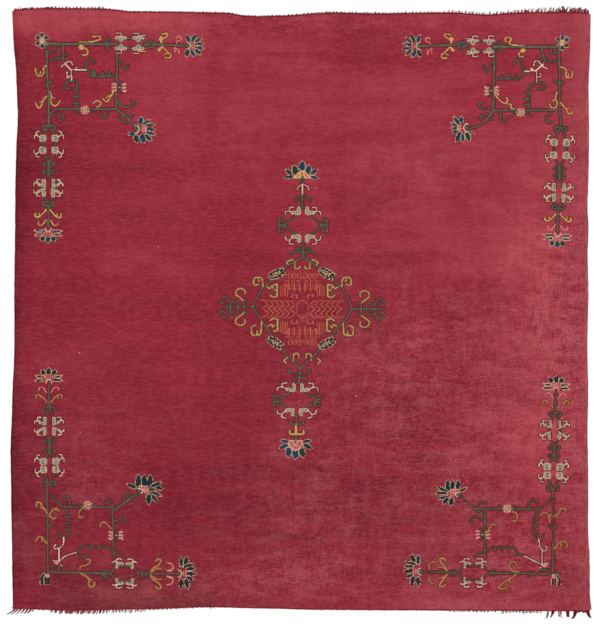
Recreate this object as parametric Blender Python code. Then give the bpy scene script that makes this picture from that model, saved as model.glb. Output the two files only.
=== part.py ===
"""Ushak rug, a hand-knotted wool carpet of room size, lying flat.

Five pieces: the knotted pile with its woven foundation, a ribbed selvedge along
each side, and at each end a narrow flat-woven strip that carries the fringe.
Metres, +Z up. The underside is at Z = 0 and the whole rug is centred on the
Z axis; +Y is the end with the short, even fringe.
"""

import math
import random
from collections import namedtuple

import bmesh
import bpy

# Driving dimensions of the rug as woven, in metres.
RUG_WIDTH = 3.960
RUG_LENGTH = 4.120
PILE_THICKNESS = 0.0090
PILE_EDGE_ROUND = 0.0030
SELVEDGE_THICKNESS = 0.0070
RIB_DEPTH = 0.0016
END_STRIP_WIDTH = 0.010
END_STRIP_THICKNESS = 0.0040
GAP = 0.0003

# How finely the outline is followed.
COLUMNS = 40
ROWS = 42
# An edge's bulge fades over the width as this power of the distance.
BULGE_FADE = 3

# How far each edge stands out from the plain rectangle, in millimetres, at a
# place along it in metres from its middle.
Bulge = namedtuple("Bulge", "along out")
LEFT_EDGE = [
    Bulge(-2.06, 10), Bulge(-1.72, 15), Bulge(-1.31, 21), Bulge(-0.96, 26),
    Bulge(-0.62, 14), Bulge(-0.27, 0), Bulge(0.14, 0), Bulge(0.55, -6),
    Bulge(0.84, -7), Bulge(1.11, -14), Bulge(1.32, -25), Bulge(1.60, -15),
    Bulge(1.87, 6), Bulge(2.06, 15),
]
RIGHT_EDGE = [
    Bulge(-2.06, 26), Bulge(-1.93, 14), Bulge(-1.72, 14), Bulge(-1.51, 2),
    Bulge(-1.17, 3), Bulge(-0.82, -2), Bulge(-0.55, 3), Bulge(-0.27, -3),
    Bulge(0.14, 4), Bulge(0.42, -3), Bulge(0.56, 6), Bulge(0.70, -3),
    Bulge(0.97, 6), Bulge(1.25, 9), Bulge(1.53, 5), Bulge(1.87, 17),
    Bulge(2.06, 20),
]
TOP_EDGE = [
    Bulge(-1.98, 22), Bulge(-1.79, 33), Bulge(-1.36, 31), Bulge(-1.18, 10),
    Bulge(-0.94, 8), Bulge(-0.52, 1), Bulge(-0.35, -24), Bulge(-0.11, -19),
    Bulge(0.20, 3), Bulge(0.48, -4), Bulge(1.03, 2), Bulge(1.27, -13),
    Bulge(1.51, 3), Bulge(1.79, 7), Bulge(1.98, 0),
]
BOTTOM_EDGE = [
    Bulge(-1.98, -4), Bulge(-1.79, 3), Bulge(-1.56, 10), Bulge(-1.04, 0),
    Bulge(-0.66, -14), Bulge(-0.21, -4), Bulge(0.14, 5), Bulge(0.69, 8),
    Bulge(1.38, 12), Bulge(1.98, 14),
]

# The selvedge is wider on the right, where it lies open, than on the left.
Selvedge = namedtuple("Selvedge", "name side width ribs")
SELVEDGES = [
    Selvedge("selvedge_left", -1, 0.012, 2),
    Selvedge("selvedge_right", 1, 0.024, 3),
]

# Where the pile is worn low: the middle of each patch, its reach, and how much
# height is gone, all in metres.
Worn = namedtuple("Worn", "x y reach_x reach_y loss")
WORN_PATCHES = [
    Worn(1.05, -0.95, 0.90, 0.80, 0.0022),
    Worn(0.55, -0.35, 0.55, 0.35, 0.0012),
    Worn(-0.20, -1.85, 1.30, 0.16, 0.0014),
    Worn(-1.55, -1.15, 0.35, 0.45, 0.0012),
    Worn(0.70, 1.00, 0.45, 0.30, 0.0008),
]

# Runs of fringe locks along an end, in metres: where the run starts and stops,
# the distance between locks, a lock's length and width, and how far its tip
# leans towards +X as a share of its length.
LockRun = namedtuple("LockRun", "start stop pitch length width lean")
TOP_FRINGE = [
    LockRun(-1.985, -1.36, 0.025, 0.014, 0.010, 0.25),
    LockRun(-1.36, -0.10, 0.028, 0.008, 0.012, -0.10),
    LockRun(-0.10, 0.98, 0.026, 0.011, 0.011, 0.15),
    LockRun(0.98, 1.46, 0.024, 0.019, 0.010, 0.30),
    LockRun(1.46, 1.99, 0.024, 0.036, 0.011, 0.20),
]
BOTTOM_FRINGE = [
    LockRun(-1.985, -1.83, 0.019, 0.034, 0.010, -0.55),
    LockRun(-1.83, -1.66, 0.034, 0.007, 0.012, 0.00),
    LockRun(-1.66, -1.06, 0.022, 0.028, 0.010, -0.25),
    LockRun(-1.06, -0.58, 0.030, 0.010, 0.012, -0.30),
    LockRun(1.02, 1.38, 0.026, 0.012, 0.011, -0.15),
    LockRun(1.38, 1.68, 0.024, 0.020, 0.011, 0.20),
    LockRun(1.68, 1.995, 0.037, 0.058, 0.017, -0.15),
]
LONG_LOCK = 0.018
TIP_WIDTH_SHARE = 0.35
TIP_HEIGHT = 0.0020
LENGTH_SPREAD = 0.30
LEAN_SPREAD = 0.12
FRINGE_SEED = 11

Finish = namedtuple("Finish", "name colour roughness")
MADDER_PILE = Finish("madder_pile", (0.330, 0.036, 0.052, 1), 0.92)
SELVEDGE_WOOL = Finish("selvedge_wool", (0.200, 0.022, 0.036, 1), 0.90)
FRINGE_WOOL = Finish("fringe_wool", (0.230, 0.030, 0.045, 1), 0.88)


def smooth_through(rows, place):
    """The bulge at a place along an edge, in metres, eased between the rows."""
    if place <= rows[0].along:
        return rows[0].out / 1000
    for before, after in zip(rows, rows[1:]):
        if place <= after.along:
            share = (place - before.along) / (after.along - before.along)
            eased = share * share * (3 - 2 * share)
            return (before.out + (after.out - before.out) * eased) / 1000
    return rows[-1].out / 1000


def evenly(first, last, steps):
    """Places from first to last, with that many steps between them."""
    return [first + (last - first) * i / steps for i in range(steps + 1)]


HALF_WIDTH = RUG_WIDTH / 2
HALF_LENGTH = RUG_LENGTH / 2
PILE_TOP = HALF_LENGTH - END_STRIP_WIDTH - GAP
PILE_LEFT = -HALF_WIDTH + SELVEDGES[0].width + GAP
PILE_RIGHT = HALF_WIDTH - SELVEDGES[1].width - GAP
COLUMN_PLACES = evenly(PILE_LEFT, PILE_RIGHT, COLUMNS)
ROW_PLACES = evenly(-PILE_TOP, PILE_TOP, ROWS)


def straight_between(rows, places, at):
    """The bulge at a place, in straight runs between the given places, so that
    neighbouring pieces that share those places keep an even gap."""
    if at <= places[0] or at >= places[-1]:
        return smooth_through(rows, at)
    for before, after in zip(places, places[1:]):
        if at <= after:
            share = (at - before) / (after - before)
            low, high = smooth_through(rows, before), smooth_through(rows, after)
            return low + (high - low) * share


def as_it_lies(x, y):
    """Where a point of the plain rectangle comes to lie on the uneven rug."""
    to_right = ((1 + x / HALF_WIDTH) / 2) ** BULGE_FADE
    to_left = ((1 - x / HALF_WIDTH) / 2) ** BULGE_FADE
    to_top = ((1 + y / HALF_LENGTH) / 2) ** BULGE_FADE
    to_bottom = ((1 - y / HALF_LENGTH) / 2) ** BULGE_FADE
    right = straight_between(RIGHT_EDGE, ROW_PLACES, y)
    left = straight_between(LEFT_EDGE, ROW_PLACES, y)
    top = straight_between(TOP_EDGE, COLUMN_PLACES, x)
    bottom = straight_between(BOTTOM_EDGE, COLUMN_PLACES, x)
    return x + right * to_right - left * to_left, y + top * to_top - bottom * to_bottom


def pile_height(x, y):
    """The rug's thickness at a point, lower where feet have worn the pile."""
    height = PILE_THICKNESS
    for patch in WORN_PATCHES:
        away = ((x - patch.x) / patch.reach_x) ** 2 + ((y - patch.y) / patch.reach_y) ** 2
        height -= patch.loss * math.exp(-away)
    return height


def material(finish):
    made = bpy.data.materials.new(finish.name)
    made.use_nodes = True
    shader = made.node_tree.nodes["Principled BSDF"]
    shader.inputs["Base Color"].default_value = finish.colour
    shader.inputs["Roughness"].default_value = finish.roughness
    shader.inputs["Metallic"].default_value = 0.0
    made.diffuse_color = finish.colour
    return made


def finished(name, bm, finish, collection):
    """Turns a bmesh into a named object with its material, facing outwards."""
    bmesh.ops.recalc_face_normals(bm, faces=bm.faces)
    mesh = bpy.data.meshes.new(name)
    bm.to_mesh(mesh)
    bm.free()
    mesh.materials.append(material(finish))
    made = bpy.data.objects.new(name, mesh)
    collection.objects.link(made)
    return made


def knotted_pile(collection):
    """The pile: a grid laid on the rug's outline, thickened down to the floor,
    with its upper rim rounded over."""
    bm = bmesh.new()
    bmesh.ops.create_grid(bm, x_segments=COLUMNS, y_segments=ROWS, size=0.5)
    for vert in bm.verts:
        column = round((vert.co.x + 0.5) * COLUMNS)
        row = round((vert.co.y + 0.5) * ROWS)
        x, y = as_it_lies(COLUMN_PLACES[column], ROW_PLACES[row])
        vert.co = (x, y, pile_height(x, y))
    rim = [edge for edge in bm.edges if edge.is_boundary]
    walls = bmesh.ops.extrude_edge_only(bm, edges=rim)["geom"]
    foot = [item for item in walls if isinstance(item, bmesh.types.BMVert)]
    for vert in foot:
        vert.co.z = 0
    bmesh.ops.contextual_create(
        bm, geom=[edge for edge in bm.edges if edge.is_boundary]
    )
    bmesh.ops.bevel(
        bm, geom=rim, offset=PILE_EDGE_ROUND, segments=2, profile=0.5, affect="EDGES"
    )
    return finished("pile_field", bm, MADDER_PILE, collection)


def ribbed_section(width, ribs):
    """The selvedge's section as (share of width, height) pairs: a flat foot, and
    a rib over each bundle of side warps."""
    crest = SELVEDGE_THICKNESS
    valley = crest - RIB_DEPTH
    top = [
        (i / (2 * ribs), crest if i % 2 else valley) for i in range(1, 2 * ribs)
    ]
    shoulder = valley - RIB_DEPTH
    return [(0, 0), (0, shoulder), *top, (1, shoulder), (1, 0)]


def selvedge(row, collection):
    """A selvedge: its section carried along the rug's side, row by row."""
    outer = row.side * HALF_WIDTH
    inner = outer - row.side * row.width
    section = ribbed_section(row.width, row.ribs)
    bm = bmesh.new()
    rings = []
    for y in ROW_PLACES:
        ring = []
        for share, height in section:
            lies_x, lies_y = as_it_lies(inner + (outer - inner) * share, y)
            ring.append(bm.verts.new((lies_x, lies_y, height)))
        rings.append(ring)
    for before, after in zip(rings, rings[1:]):
        for i in range(len(section)):
            j = (i + 1) % len(section)
            bm.faces.new((before[i], before[j], after[j], after[i]))
    bm.faces.new(rings[0])
    bm.faces.new(rings[-1])
    return finished(row.name, bm, SELVEDGE_WOOL, collection)


def planned_locks(runs, dice):
    """Each lock of an end as (place, length, width, lean), from left to right."""
    locks = []
    for run in runs:
        for i in range(int((run.stop - run.start) / run.pitch)):
            place = run.start + run.pitch * (i + 0.5)
            length = run.length * (1 + LENGTH_SPREAD * dice.uniform(-1, 1))
            lean = run.lean + LEAN_SPREAD * dice.uniform(-1, 1)
            locks.append((place, length, run.width, lean))
    return locks


def grow_lock(bm, root, end_side, length, lean):
    """Draws a lock out of a face of the end strip. It lies level on the floor,
    and narrows and thins to its tip; a long lock also bends on the way."""
    steps = 2 if length > LONG_LOCK else 1
    face = root
    for step in range(1, steps + 1):
        face = bmesh.ops.extrude_discrete_faces(bm, faces=[face])["faces"][0]
        middle = face.calc_center_median()
        share = step / steps
        before = (step - 1) / steps
        narrow = (1 - (1 - TIP_WIDTH_SHARE) * share) / (
            1 - (1 - TIP_WIDTH_SHARE) * before
        )
        aside = lean * length * (share**2 - before**2)
        height = END_STRIP_THICKNESS + (TIP_HEIGHT - END_STRIP_THICKNESS) * share
        for vert in face.verts:
            vert.co.x = middle.x + (vert.co.x - middle.x) * narrow + aside
            vert.co.y += end_side * length / steps
            if vert.co.z > 0:
                vert.co.z = height


def fringed_end(name, end_side, runs, collection):
    """An end strip of flat weave with its fringe. end_side is 1 for the top."""
    dice = random.Random(FRINGE_SEED + end_side)
    locks = planned_locks(runs, dice)
    # Every lock's root has a corner of the strip on each side of it.
    places = {-HALF_WIDTH: None, HALF_WIDTH: None}
    places.update((place, None) for place in COLUMN_PLACES[1:-1])
    for lock in locks:
        left, right = lock[0] - lock[2] / 2, lock[0] + lock[2] / 2
        for place in [p for p in places if left - GAP < p < right + GAP]:
            del places[place]
        places[left], places[right] = lock, None
    inner = end_side * (HALF_LENGTH - END_STRIP_WIDTH)
    outer = end_side * HALF_LENGTH
    bm = bmesh.new()
    rings = []
    for x in sorted(places):
        near, far = as_it_lies(x, inner), as_it_lies(x, outer)
        ring = [
            bm.verts.new((*near, 0)),
            bm.verts.new((*near, END_STRIP_THICKNESS)),
            bm.verts.new((*far, END_STRIP_THICKNESS)),
            bm.verts.new((*far, 0)),
        ]
        rings.append((x, ring))
    bm.faces.new(rings[0][1])
    bm.faces.new(rings[-1][1])
    roots = []
    for (x, before), (_, after) in zip(rings, rings[1:]):
        for i in range(4):
            j = (i + 1) % 4
            face = bm.faces.new((before[i], before[j], after[j], after[i]))
            if i == 2 and places[x] is not None:
                roots.append((face, places[x]))
    bmesh.ops.recalc_face_normals(bm, faces=bm.faces)
    for face, (_, length, _, lean) in roots:
        grow_lock(bm, face, end_side, length, lean)
    return finished(name, bm, FRINGE_WOOL, collection)


def centre_on_origin(parts):
    """Moves the whole rug so that its outer box is centred on the Z axis."""
    bpy.context.view_layer.update()
    corners = [
        part.matrix_world @ vert.co for part in parts for vert in part.data.vertices
    ]
    for axis in range(2):
        low = min(corner[axis] for corner in corners)
        high = max(corner[axis] for corner in corners)
        for part in parts:
            part.location[axis] -= (low + high) / 2


def build():
    for old in list(bpy.data.objects):
        bpy.data.objects.remove(old)
    collection = bpy.data.collections.new("ushak_rug")
    bpy.context.scene.collection.children.link(collection)
    parts = [knotted_pile(collection)]
    parts += [selvedge(row, collection) for row in SELVEDGES]
    parts.append(fringed_end("fringe_top", 1, TOP_FRINGE, collection))
    parts.append(fringed_end("fringe_bottom", -1, BOTTOM_FRINGE, collection))
    centre_on_origin(parts)


build()
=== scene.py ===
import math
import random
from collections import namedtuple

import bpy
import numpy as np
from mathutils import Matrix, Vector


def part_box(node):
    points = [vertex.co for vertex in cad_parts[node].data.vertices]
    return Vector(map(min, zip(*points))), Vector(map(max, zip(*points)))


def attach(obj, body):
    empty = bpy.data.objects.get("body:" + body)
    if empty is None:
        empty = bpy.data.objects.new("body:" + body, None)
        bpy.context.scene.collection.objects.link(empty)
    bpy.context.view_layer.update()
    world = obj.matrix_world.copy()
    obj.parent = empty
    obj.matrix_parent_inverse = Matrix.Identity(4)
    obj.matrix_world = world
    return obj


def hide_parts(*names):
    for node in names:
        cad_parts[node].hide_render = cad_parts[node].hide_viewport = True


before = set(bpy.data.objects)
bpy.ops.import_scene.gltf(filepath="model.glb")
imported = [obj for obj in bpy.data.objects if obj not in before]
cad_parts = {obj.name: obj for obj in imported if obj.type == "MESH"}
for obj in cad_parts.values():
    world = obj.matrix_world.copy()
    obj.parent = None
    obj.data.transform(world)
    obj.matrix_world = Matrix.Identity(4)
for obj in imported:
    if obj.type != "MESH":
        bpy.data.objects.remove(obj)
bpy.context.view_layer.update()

# The looks of the ushak rug. Metres, +Z up, as the imported model. The field, the
# side cords and the fringed ends follow the outline of the CAD's pile. The flower
# pattern is drawn as a weaver draws it, as a cartoon of knots, and every run of
# knots of one colour is a small raised block of pile. The points of the motifs were
# read off the photo, and are in knots. The colours, and the places that are faded,
# dusty, soiled or rubbed, were matched to the photo.

# The rug as woven. Its plain rectangle is centred a little off the world's origin,
# because the CAD centres the whole rug with its fringe.
WEAVE_MIDDLE = (0.0007, 0.0166)
HALF_WIDTH = 1.980
HALF_LENGTH = 2.060
PILE_THICKNESS = 0.0090
RIM_ROUND = 0.0030
FIELD_FOOT = 0.0006
GAP = 0.0003
FIELD_CELLS = (268, 278)

# One knot of the pattern, and the size of the cartoon in knots.
KNOT = 0.0046
CARTOON_COLUMNS = 860
CARTOON_ROWS = 896
# Half the width of the thinnest stroke, in knots.
THINNEST_HALF = 0.6


def linear(red, green, blue):
    """An ordinary 0 to 255 colour as the renderer's linear one."""
    shares = [value / 255 for value in (red, green, blue)]
    return tuple(s / 12.92 if s <= 0.04045 else ((s + 0.055) / 1.055) ** 2.4 for s in shares)


# ---------------------------------------------------------------- noise and meshes


def eased(share):
    """A share from 0 to 1 that starts and stops softly."""
    return share * share * (3 - 2 * share)


def drift(x, y, step_x, step_y, seed):
    """Soft noise from -1 to 1 over a plane, with patches of the given size."""
    lattice = np.random.default_rng(seed).uniform(-1, 1, (256, 256))
    u, v = np.asarray(x) / step_x, np.asarray(y) / step_y
    i, j = np.floor(u).astype(int), np.floor(v).astype(int)
    a, b = eased(u - i), eased(v - j)
    low = lattice[i % 256, j % 256] * (1 - a) + lattice[(i + 1) % 256, j % 256] * a
    high = lattice[i % 256, (j + 1) % 256] * (1 - a) + lattice[(i + 1) % 256, (j + 1) % 256] * a
    return low * (1 - b) + high * b


def new_piece(name, points, faces, material, smooth=True):
    """A mesh piece that carries one material."""
    mesh = bpy.data.meshes.new(name)
    mesh.from_pydata(np.asarray(points, float).tolist(), [], faces)
    mesh.polygons.foreach_set("use_smooth", [smooth] * len(mesh.polygons))
    mesh.materials.append(material)
    piece = bpy.data.objects.new(name, mesh)
    bpy.context.scene.collection.objects.link(piece)
    return piece


def tint(piece, name, colours):
    """Keeps a linear colour for each vertex, which the material reads by name."""
    layer = piece.data.color_attributes.new(name, "FLOAT_COLOR", "POINT")
    rows = np.ones((len(colours), 4), np.float32)
    rows[:, :3] = colours
    layer.data.foreach_set("color", rows.ravel())


# ---------------------------------------------------------------- the outline

Side = namedtuple("Side", "x y")


def foot_of_field():
    """The foot of the CAD's pile as x, y rows, in order round the rug."""
    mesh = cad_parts["pile_field"].data
    points = np.empty(len(mesh.vertices) * 3)
    mesh.vertices.foreach_get("co", points)
    points = points.reshape(-1, 3)
    foot = points[points[:, 2] < 0.0002, :2]
    foot = np.unique(np.round(foot, 5), axis=0)
    around = np.arctan2(foot[:, 1], foot[:, 0])
    return foot[np.argsort(around)]


def sides_of(ring):
    """The ring cut at its four corners, each side running the way x or y grows."""
    corner = {
        (right, up): int(np.argmax(right * ring[:, 0] + up * ring[:, 1]))
        for right in (-1, 1)
        for up in (-1, 1)
    }

    def stretch(start, stop, forward):
        count = (stop - start) % len(ring) + 1
        part = ring[(start + np.arange(count)) % len(ring)]
        part = part if forward else part[::-1]
        return Side(part[:, 0], part[:, 1])

    return {
        "bottom": stretch(corner[-1, -1], corner[1, -1], True),
        "right": stretch(corner[1, -1], corner[1, 1], True),
        "top": stretch(corner[1, 1], corner[-1, 1], False),
        "left": stretch(corner[-1, 1], corner[-1, -1], False),
    }


SIDES = sides_of(foot_of_field())


def along_level(side, share):
    """Points of the top or bottom side at shares of its width."""
    x = side.x[0] + (side.x[-1] - side.x[0]) * share
    return np.stack([x, np.interp(x, side.x, side.y)], axis=-1)


def along_upright(side, share):
    """Points of the left or right side at shares of its height."""
    y = side.y[0] + (side.y[-1] - side.y[0]) * share
    return np.stack([np.interp(y, side.y, side.x), y], axis=-1)


def on_rug(s, t):
    """A grid of points inside the outline, at shares s across and t up."""
    bottom, top = along_level(SIDES["bottom"], s), along_level(SIDES["top"], s)
    left, right = along_upright(SIDES["left"], t), along_upright(SIDES["right"], t)
    s, t = s[None, :, None], t[:, None, None]
    ruled = (1 - t) * bottom[None] + t * top[None] + (1 - s) * left[:, None] + s * right[:, None]
    corners = (1 - t) * ((1 - s) * bottom[0] + s * bottom[-1]) + t * ((1 - s) * top[0] + s * top[-1])
    return ruled - corners


# ---------------------------------------------------------------- pile and dye

# A soft-edged place on the rug, in metres from the rug's middle, and how strong it is.
Place = namedtuple("Place", "x y reach_x reach_y strength")
# Where the pile is worn low, as in the CAD: how much lower, in metres.
WORN_PATCHES = [
    Place(1.05, -0.95, 0.90, 0.80, 0.0022),
    Place(0.55, -0.35, 0.55, 0.35, 0.0012),
    Place(-0.20, -1.85, 1.30, 0.16, 0.0014),
    Place(-1.55, -1.15, 0.35, 0.45, 0.0012),
    Place(0.70, 1.00, 0.45, 0.30, 0.0008),
]


# How far the pile's surface lies under the CAD's top, and how uneven it is.
SURFACE_DROP = 0.0004
NAP_UNEVEN = 0.00015


def from_middle(x, y):
    """World x, y as metres from the rug's middle."""
    return x - WEAVE_MIDDLE[0], y - WEAVE_MIDDLE[1]


def nearness(place, wx, wy):
    """1 in the middle of a place, fading softly to 0 past its reach."""
    away = ((wx - place.x) / place.reach_x) ** 2 + ((wy - place.y) / place.reach_y) ** 2
    return np.exp(-away)


def pile_height(x, y):
    """The height of the pile's surface at world x, y."""
    wx, wy = from_middle(x, y)
    height = np.full(np.shape(x), PILE_THICKNESS - SURFACE_DROP)
    for patch in WORN_PATCHES:
        height = height - patch.strength * nearness(patch, wx, wy)
    return height + NAP_UNEVEN * drift(wx, wy, 0.09, 0.05, 3)


# The madder red from its deepest to its palest, with the tone of each.
DEEP = np.array(linear(98, 18, 33))
MADDER = np.array(linear(135, 34, 49))
PALE = np.array(linear(168, 65, 76))
# What shows where the pile has worn thin: dusty madder, and the bleached tips of knots.
DUSTY = np.array(linear(165, 79, 85))
FADED_WOOL = np.array(linear(204, 132, 132))
# The brown of soiled wool.
SOILED_WOOL = np.array(linear(100, 50, 50))

# The dye lots from the bottom end to the top: metres up from the middle, and tone.
DyeLot = namedtuple("DyeLot", "y tone")
DYE_LOTS = [
    DyeLot(-2.10, 0.00), DyeLot(-1.93, -0.15), DyeLot(-1.70, -0.45), DyeLot(-1.38, -0.75),
    DyeLot(-0.95, -0.45), DyeLot(-0.60, -0.35), DyeLot(-0.27, -0.20), DyeLot(0.07, -0.25),
    DyeLot(0.35, -0.02), DyeLot(0.63, -0.10), DyeLot(1.00, 0.00), DyeLot(1.39, 0.15),
    DyeLot(1.75, 0.15), DyeLot(2.08, 0.30),
]

# Places that are paler or deeper than the rows they lie in: how much tone they add.
FADED = [
    Place(1.66, 0.10, 0.34, 0.85, 1.15),
    Place(1.85, -0.75, 0.25, 0.85, 0.75),
    Place(-1.95, 1.15, 0.10, 0.90, -0.50),
    Place(-1.75, 1.15, 0.28, 0.55, -0.50),
    Place(0.95, 1.15, 0.55, 0.60, 0.22),
    Place(-0.95, 1.60, 0.30, 0.45, 0.20),
    Place(1.00, 0.40, 0.45, 0.40, 0.30),
    Place(-1.25, 0.42, 0.30, 0.25, 0.12),
    Place(-0.50, 0.38, 0.30, 0.16, -0.25),
    Place(-0.10, -0.15, 0.70, 0.30, -0.50),
    Place(0.05, -1.35, 0.30, 0.40, -0.30),
    Place(0.70, -0.70, 0.35, 0.45, -0.25),
    Place(1.40, -0.95, 0.55, 0.70, 0.80),
    Place(-0.95, -0.10, 0.50, 0.50, 0.22),
    Place(-1.60, -1.85, 0.45, 0.30, -0.60),
    Place(-1.05, -1.98, 0.60, 0.15, -1.25),
    Place(-1.87, -1.10, 0.20, 0.35, -0.40),
    Place(0.20, -0.06, 0.35, 0.20, -0.25),
    Place(-1.93, 2.00, 0.10, 0.10, 0.50),
    Place(0.85, -1.98, 0.50, 0.13, 0.45),
    Place(1.75, -1.90, 0.25, 0.20, -0.20),
    Place(-1.50, 2.02, 0.70, 0.10, 0.80),
    Place(1.25, 2.00, 0.60, 0.12, 0.20),
    Place(0.45, 1.90, 0.50, 0.20, -0.30),
    Place(1.92, -1.95, 0.12, 0.16, -0.60),
]
# Dusty places where the pile's red has gone grey: how much of it has.
DUSTED = [
    Place(1.25, -2.03, 0.45, 0.05, 0.70),
    Place(1.45, -1.80, 0.30, 0.20, 0.30),
]
# Places along the bottom end that look soiled: how much of the red has gone brown.
SOILED = [
    Place(-0.92, -2.00, 0.44, 0.07, 0.62),
    Place(-0.45, -1.91, 0.55, 0.09, 0.28),
    Place(-1.45, -1.99, 0.25, 0.06, 0.20),
]
# The left side's edge is deeper and the right side's dusty: by how much, and how
# far in each reaches.
SIDE_DEEPER = 0.75
SIDE_DEPTH = 0.045
SIDE_DUST = 0.7
SIDE_FADE = 0.110


def tone_of(x, y):
    """How deep (-1) or pale (1) the madder is at world x, y."""
    wx, wy = from_middle(x, y)
    lots = np.array(DYE_LOTS)
    # The lots meet along lines that wander a little.
    tone = np.interp(wy + 0.03 * drift(wx, wy, 0.8, 0.3, 5), lots[:, 0], lots[:, 1])
    for place in FADED:
        tone = tone + place.strength * nearness(place, wx, wy)
    tone = tone - SIDE_DEEPER * np.exp(-np.maximum(wx + HALF_WIDTH, 0) / SIDE_DEPTH)
    tone = tone + 0.12 * drift(wx, wy, 1.3, 0.055, 11) + 0.10 * drift(wx, wy, 0.40, 0.030, 12)
    tone = tone + 0.10 * drift(wx, wy, 0.28, 2.6, 13)
    # The patches are stronger where the pile is worn, and the pale ones strongest.
    patches = mottle(wx, wy)
    return tone + (0.4 + 2.3 * wear_of(x, y)) * np.where(patches < 0, 0.7 * patches, patches)


def mottle(wx, wy):
    """Soft patches and streaks, level and upright, from use and uneven dyeing."""
    level = 0.22 * drift(wx, wy, 0.42, 0.17, 14) + 0.17 * drift(wx, wy, 0.18, 0.06, 15)
    upright = 0.15 * drift(wx, wy, 0.12, 0.30, 16) + 0.11 * drift(wx, wy, 0.05, 0.13, 17)
    return level + upright + 0.10 * drift(wx, wy, 0.09, 0.026, 18)


def madder(tone):
    """The red of each tone, as rows of linear colour."""
    tone = np.clip(tone, -1.2, 1.3)[..., None]
    return np.where(tone < 0, MADDER + (MADDER - DEEP) * tone, MADDER + (PALE - MADDER) * tone)


def field_dye(x, y):
    """The field's colour at world x, y, dusty where it is worn most, and soiled."""
    wx, wy = from_middle(x, y)
    # Dust lies in patches of its own, so their noise is read from another place.
    dusty = wear_of(x, y) * np.clip(0.08 + 1.3 * mottle(wx + 7, wy + 3), 0, 0.6)
    dusty = np.maximum(dusty, SIDE_DUST * np.exp(-np.maximum(HALF_WIDTH - wx, 0) / SIDE_FADE))
    for place in DUSTED:
        dusty = np.maximum(dusty, place.strength * nearness(place, wx, wy))
    colour = madder(tone_of(x, y))
    colour = colour + (DUSTY - colour) * dusty[..., None]
    for place in SOILED:
        share = place.strength * nearness(place, wx, wy)
        colour = colour + (SOILED_WOOL - colour) * share[..., None]
    return colour


# How much a metre of lost pile counts as wear.
WEAR_PER_METRE = 300
# Places rubbed dull without being worn any lower: how much wear they add.
RUBBED = [
    Place(1.75, 0.20, 0.25, 0.80, 0.50),
    Place(1.10, 0.00, 0.60, 0.40, 0.30),
    Place(0.00, -1.50, 0.50, 0.55, 0.45),
    Place(-0.95, -1.96, 0.55, 0.06, 0.30),
    Place(0.00, 1.98, 1.80, 0.08, 0.25),
    Place(1.55, -1.78, 0.48, 0.38, 0.65),
    Place(1.90, -0.35, 0.14, 1.05, 0.60),
]


def wear_of(x, y):
    """How worn the pile is at world x, y, from 0 to 1."""
    wx, wy = from_middle(x, y)
    wear = 0.12 + 0.12 * drift(wx, wy, 0.5, 0.4, 21)
    for patch in WORN_PATCHES:
        wear = wear + WEAR_PER_METRE * patch.strength * nearness(patch, wx, wy)
    for place in RUBBED:
        wear = wear + place.strength * nearness(place, wx, wy)
    return np.clip(wear, 0, 1)


# ---------------------------------------------------------------- materials

# About one tuft of pile for each knot.
TUFTS_PER_METRE = 217


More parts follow.
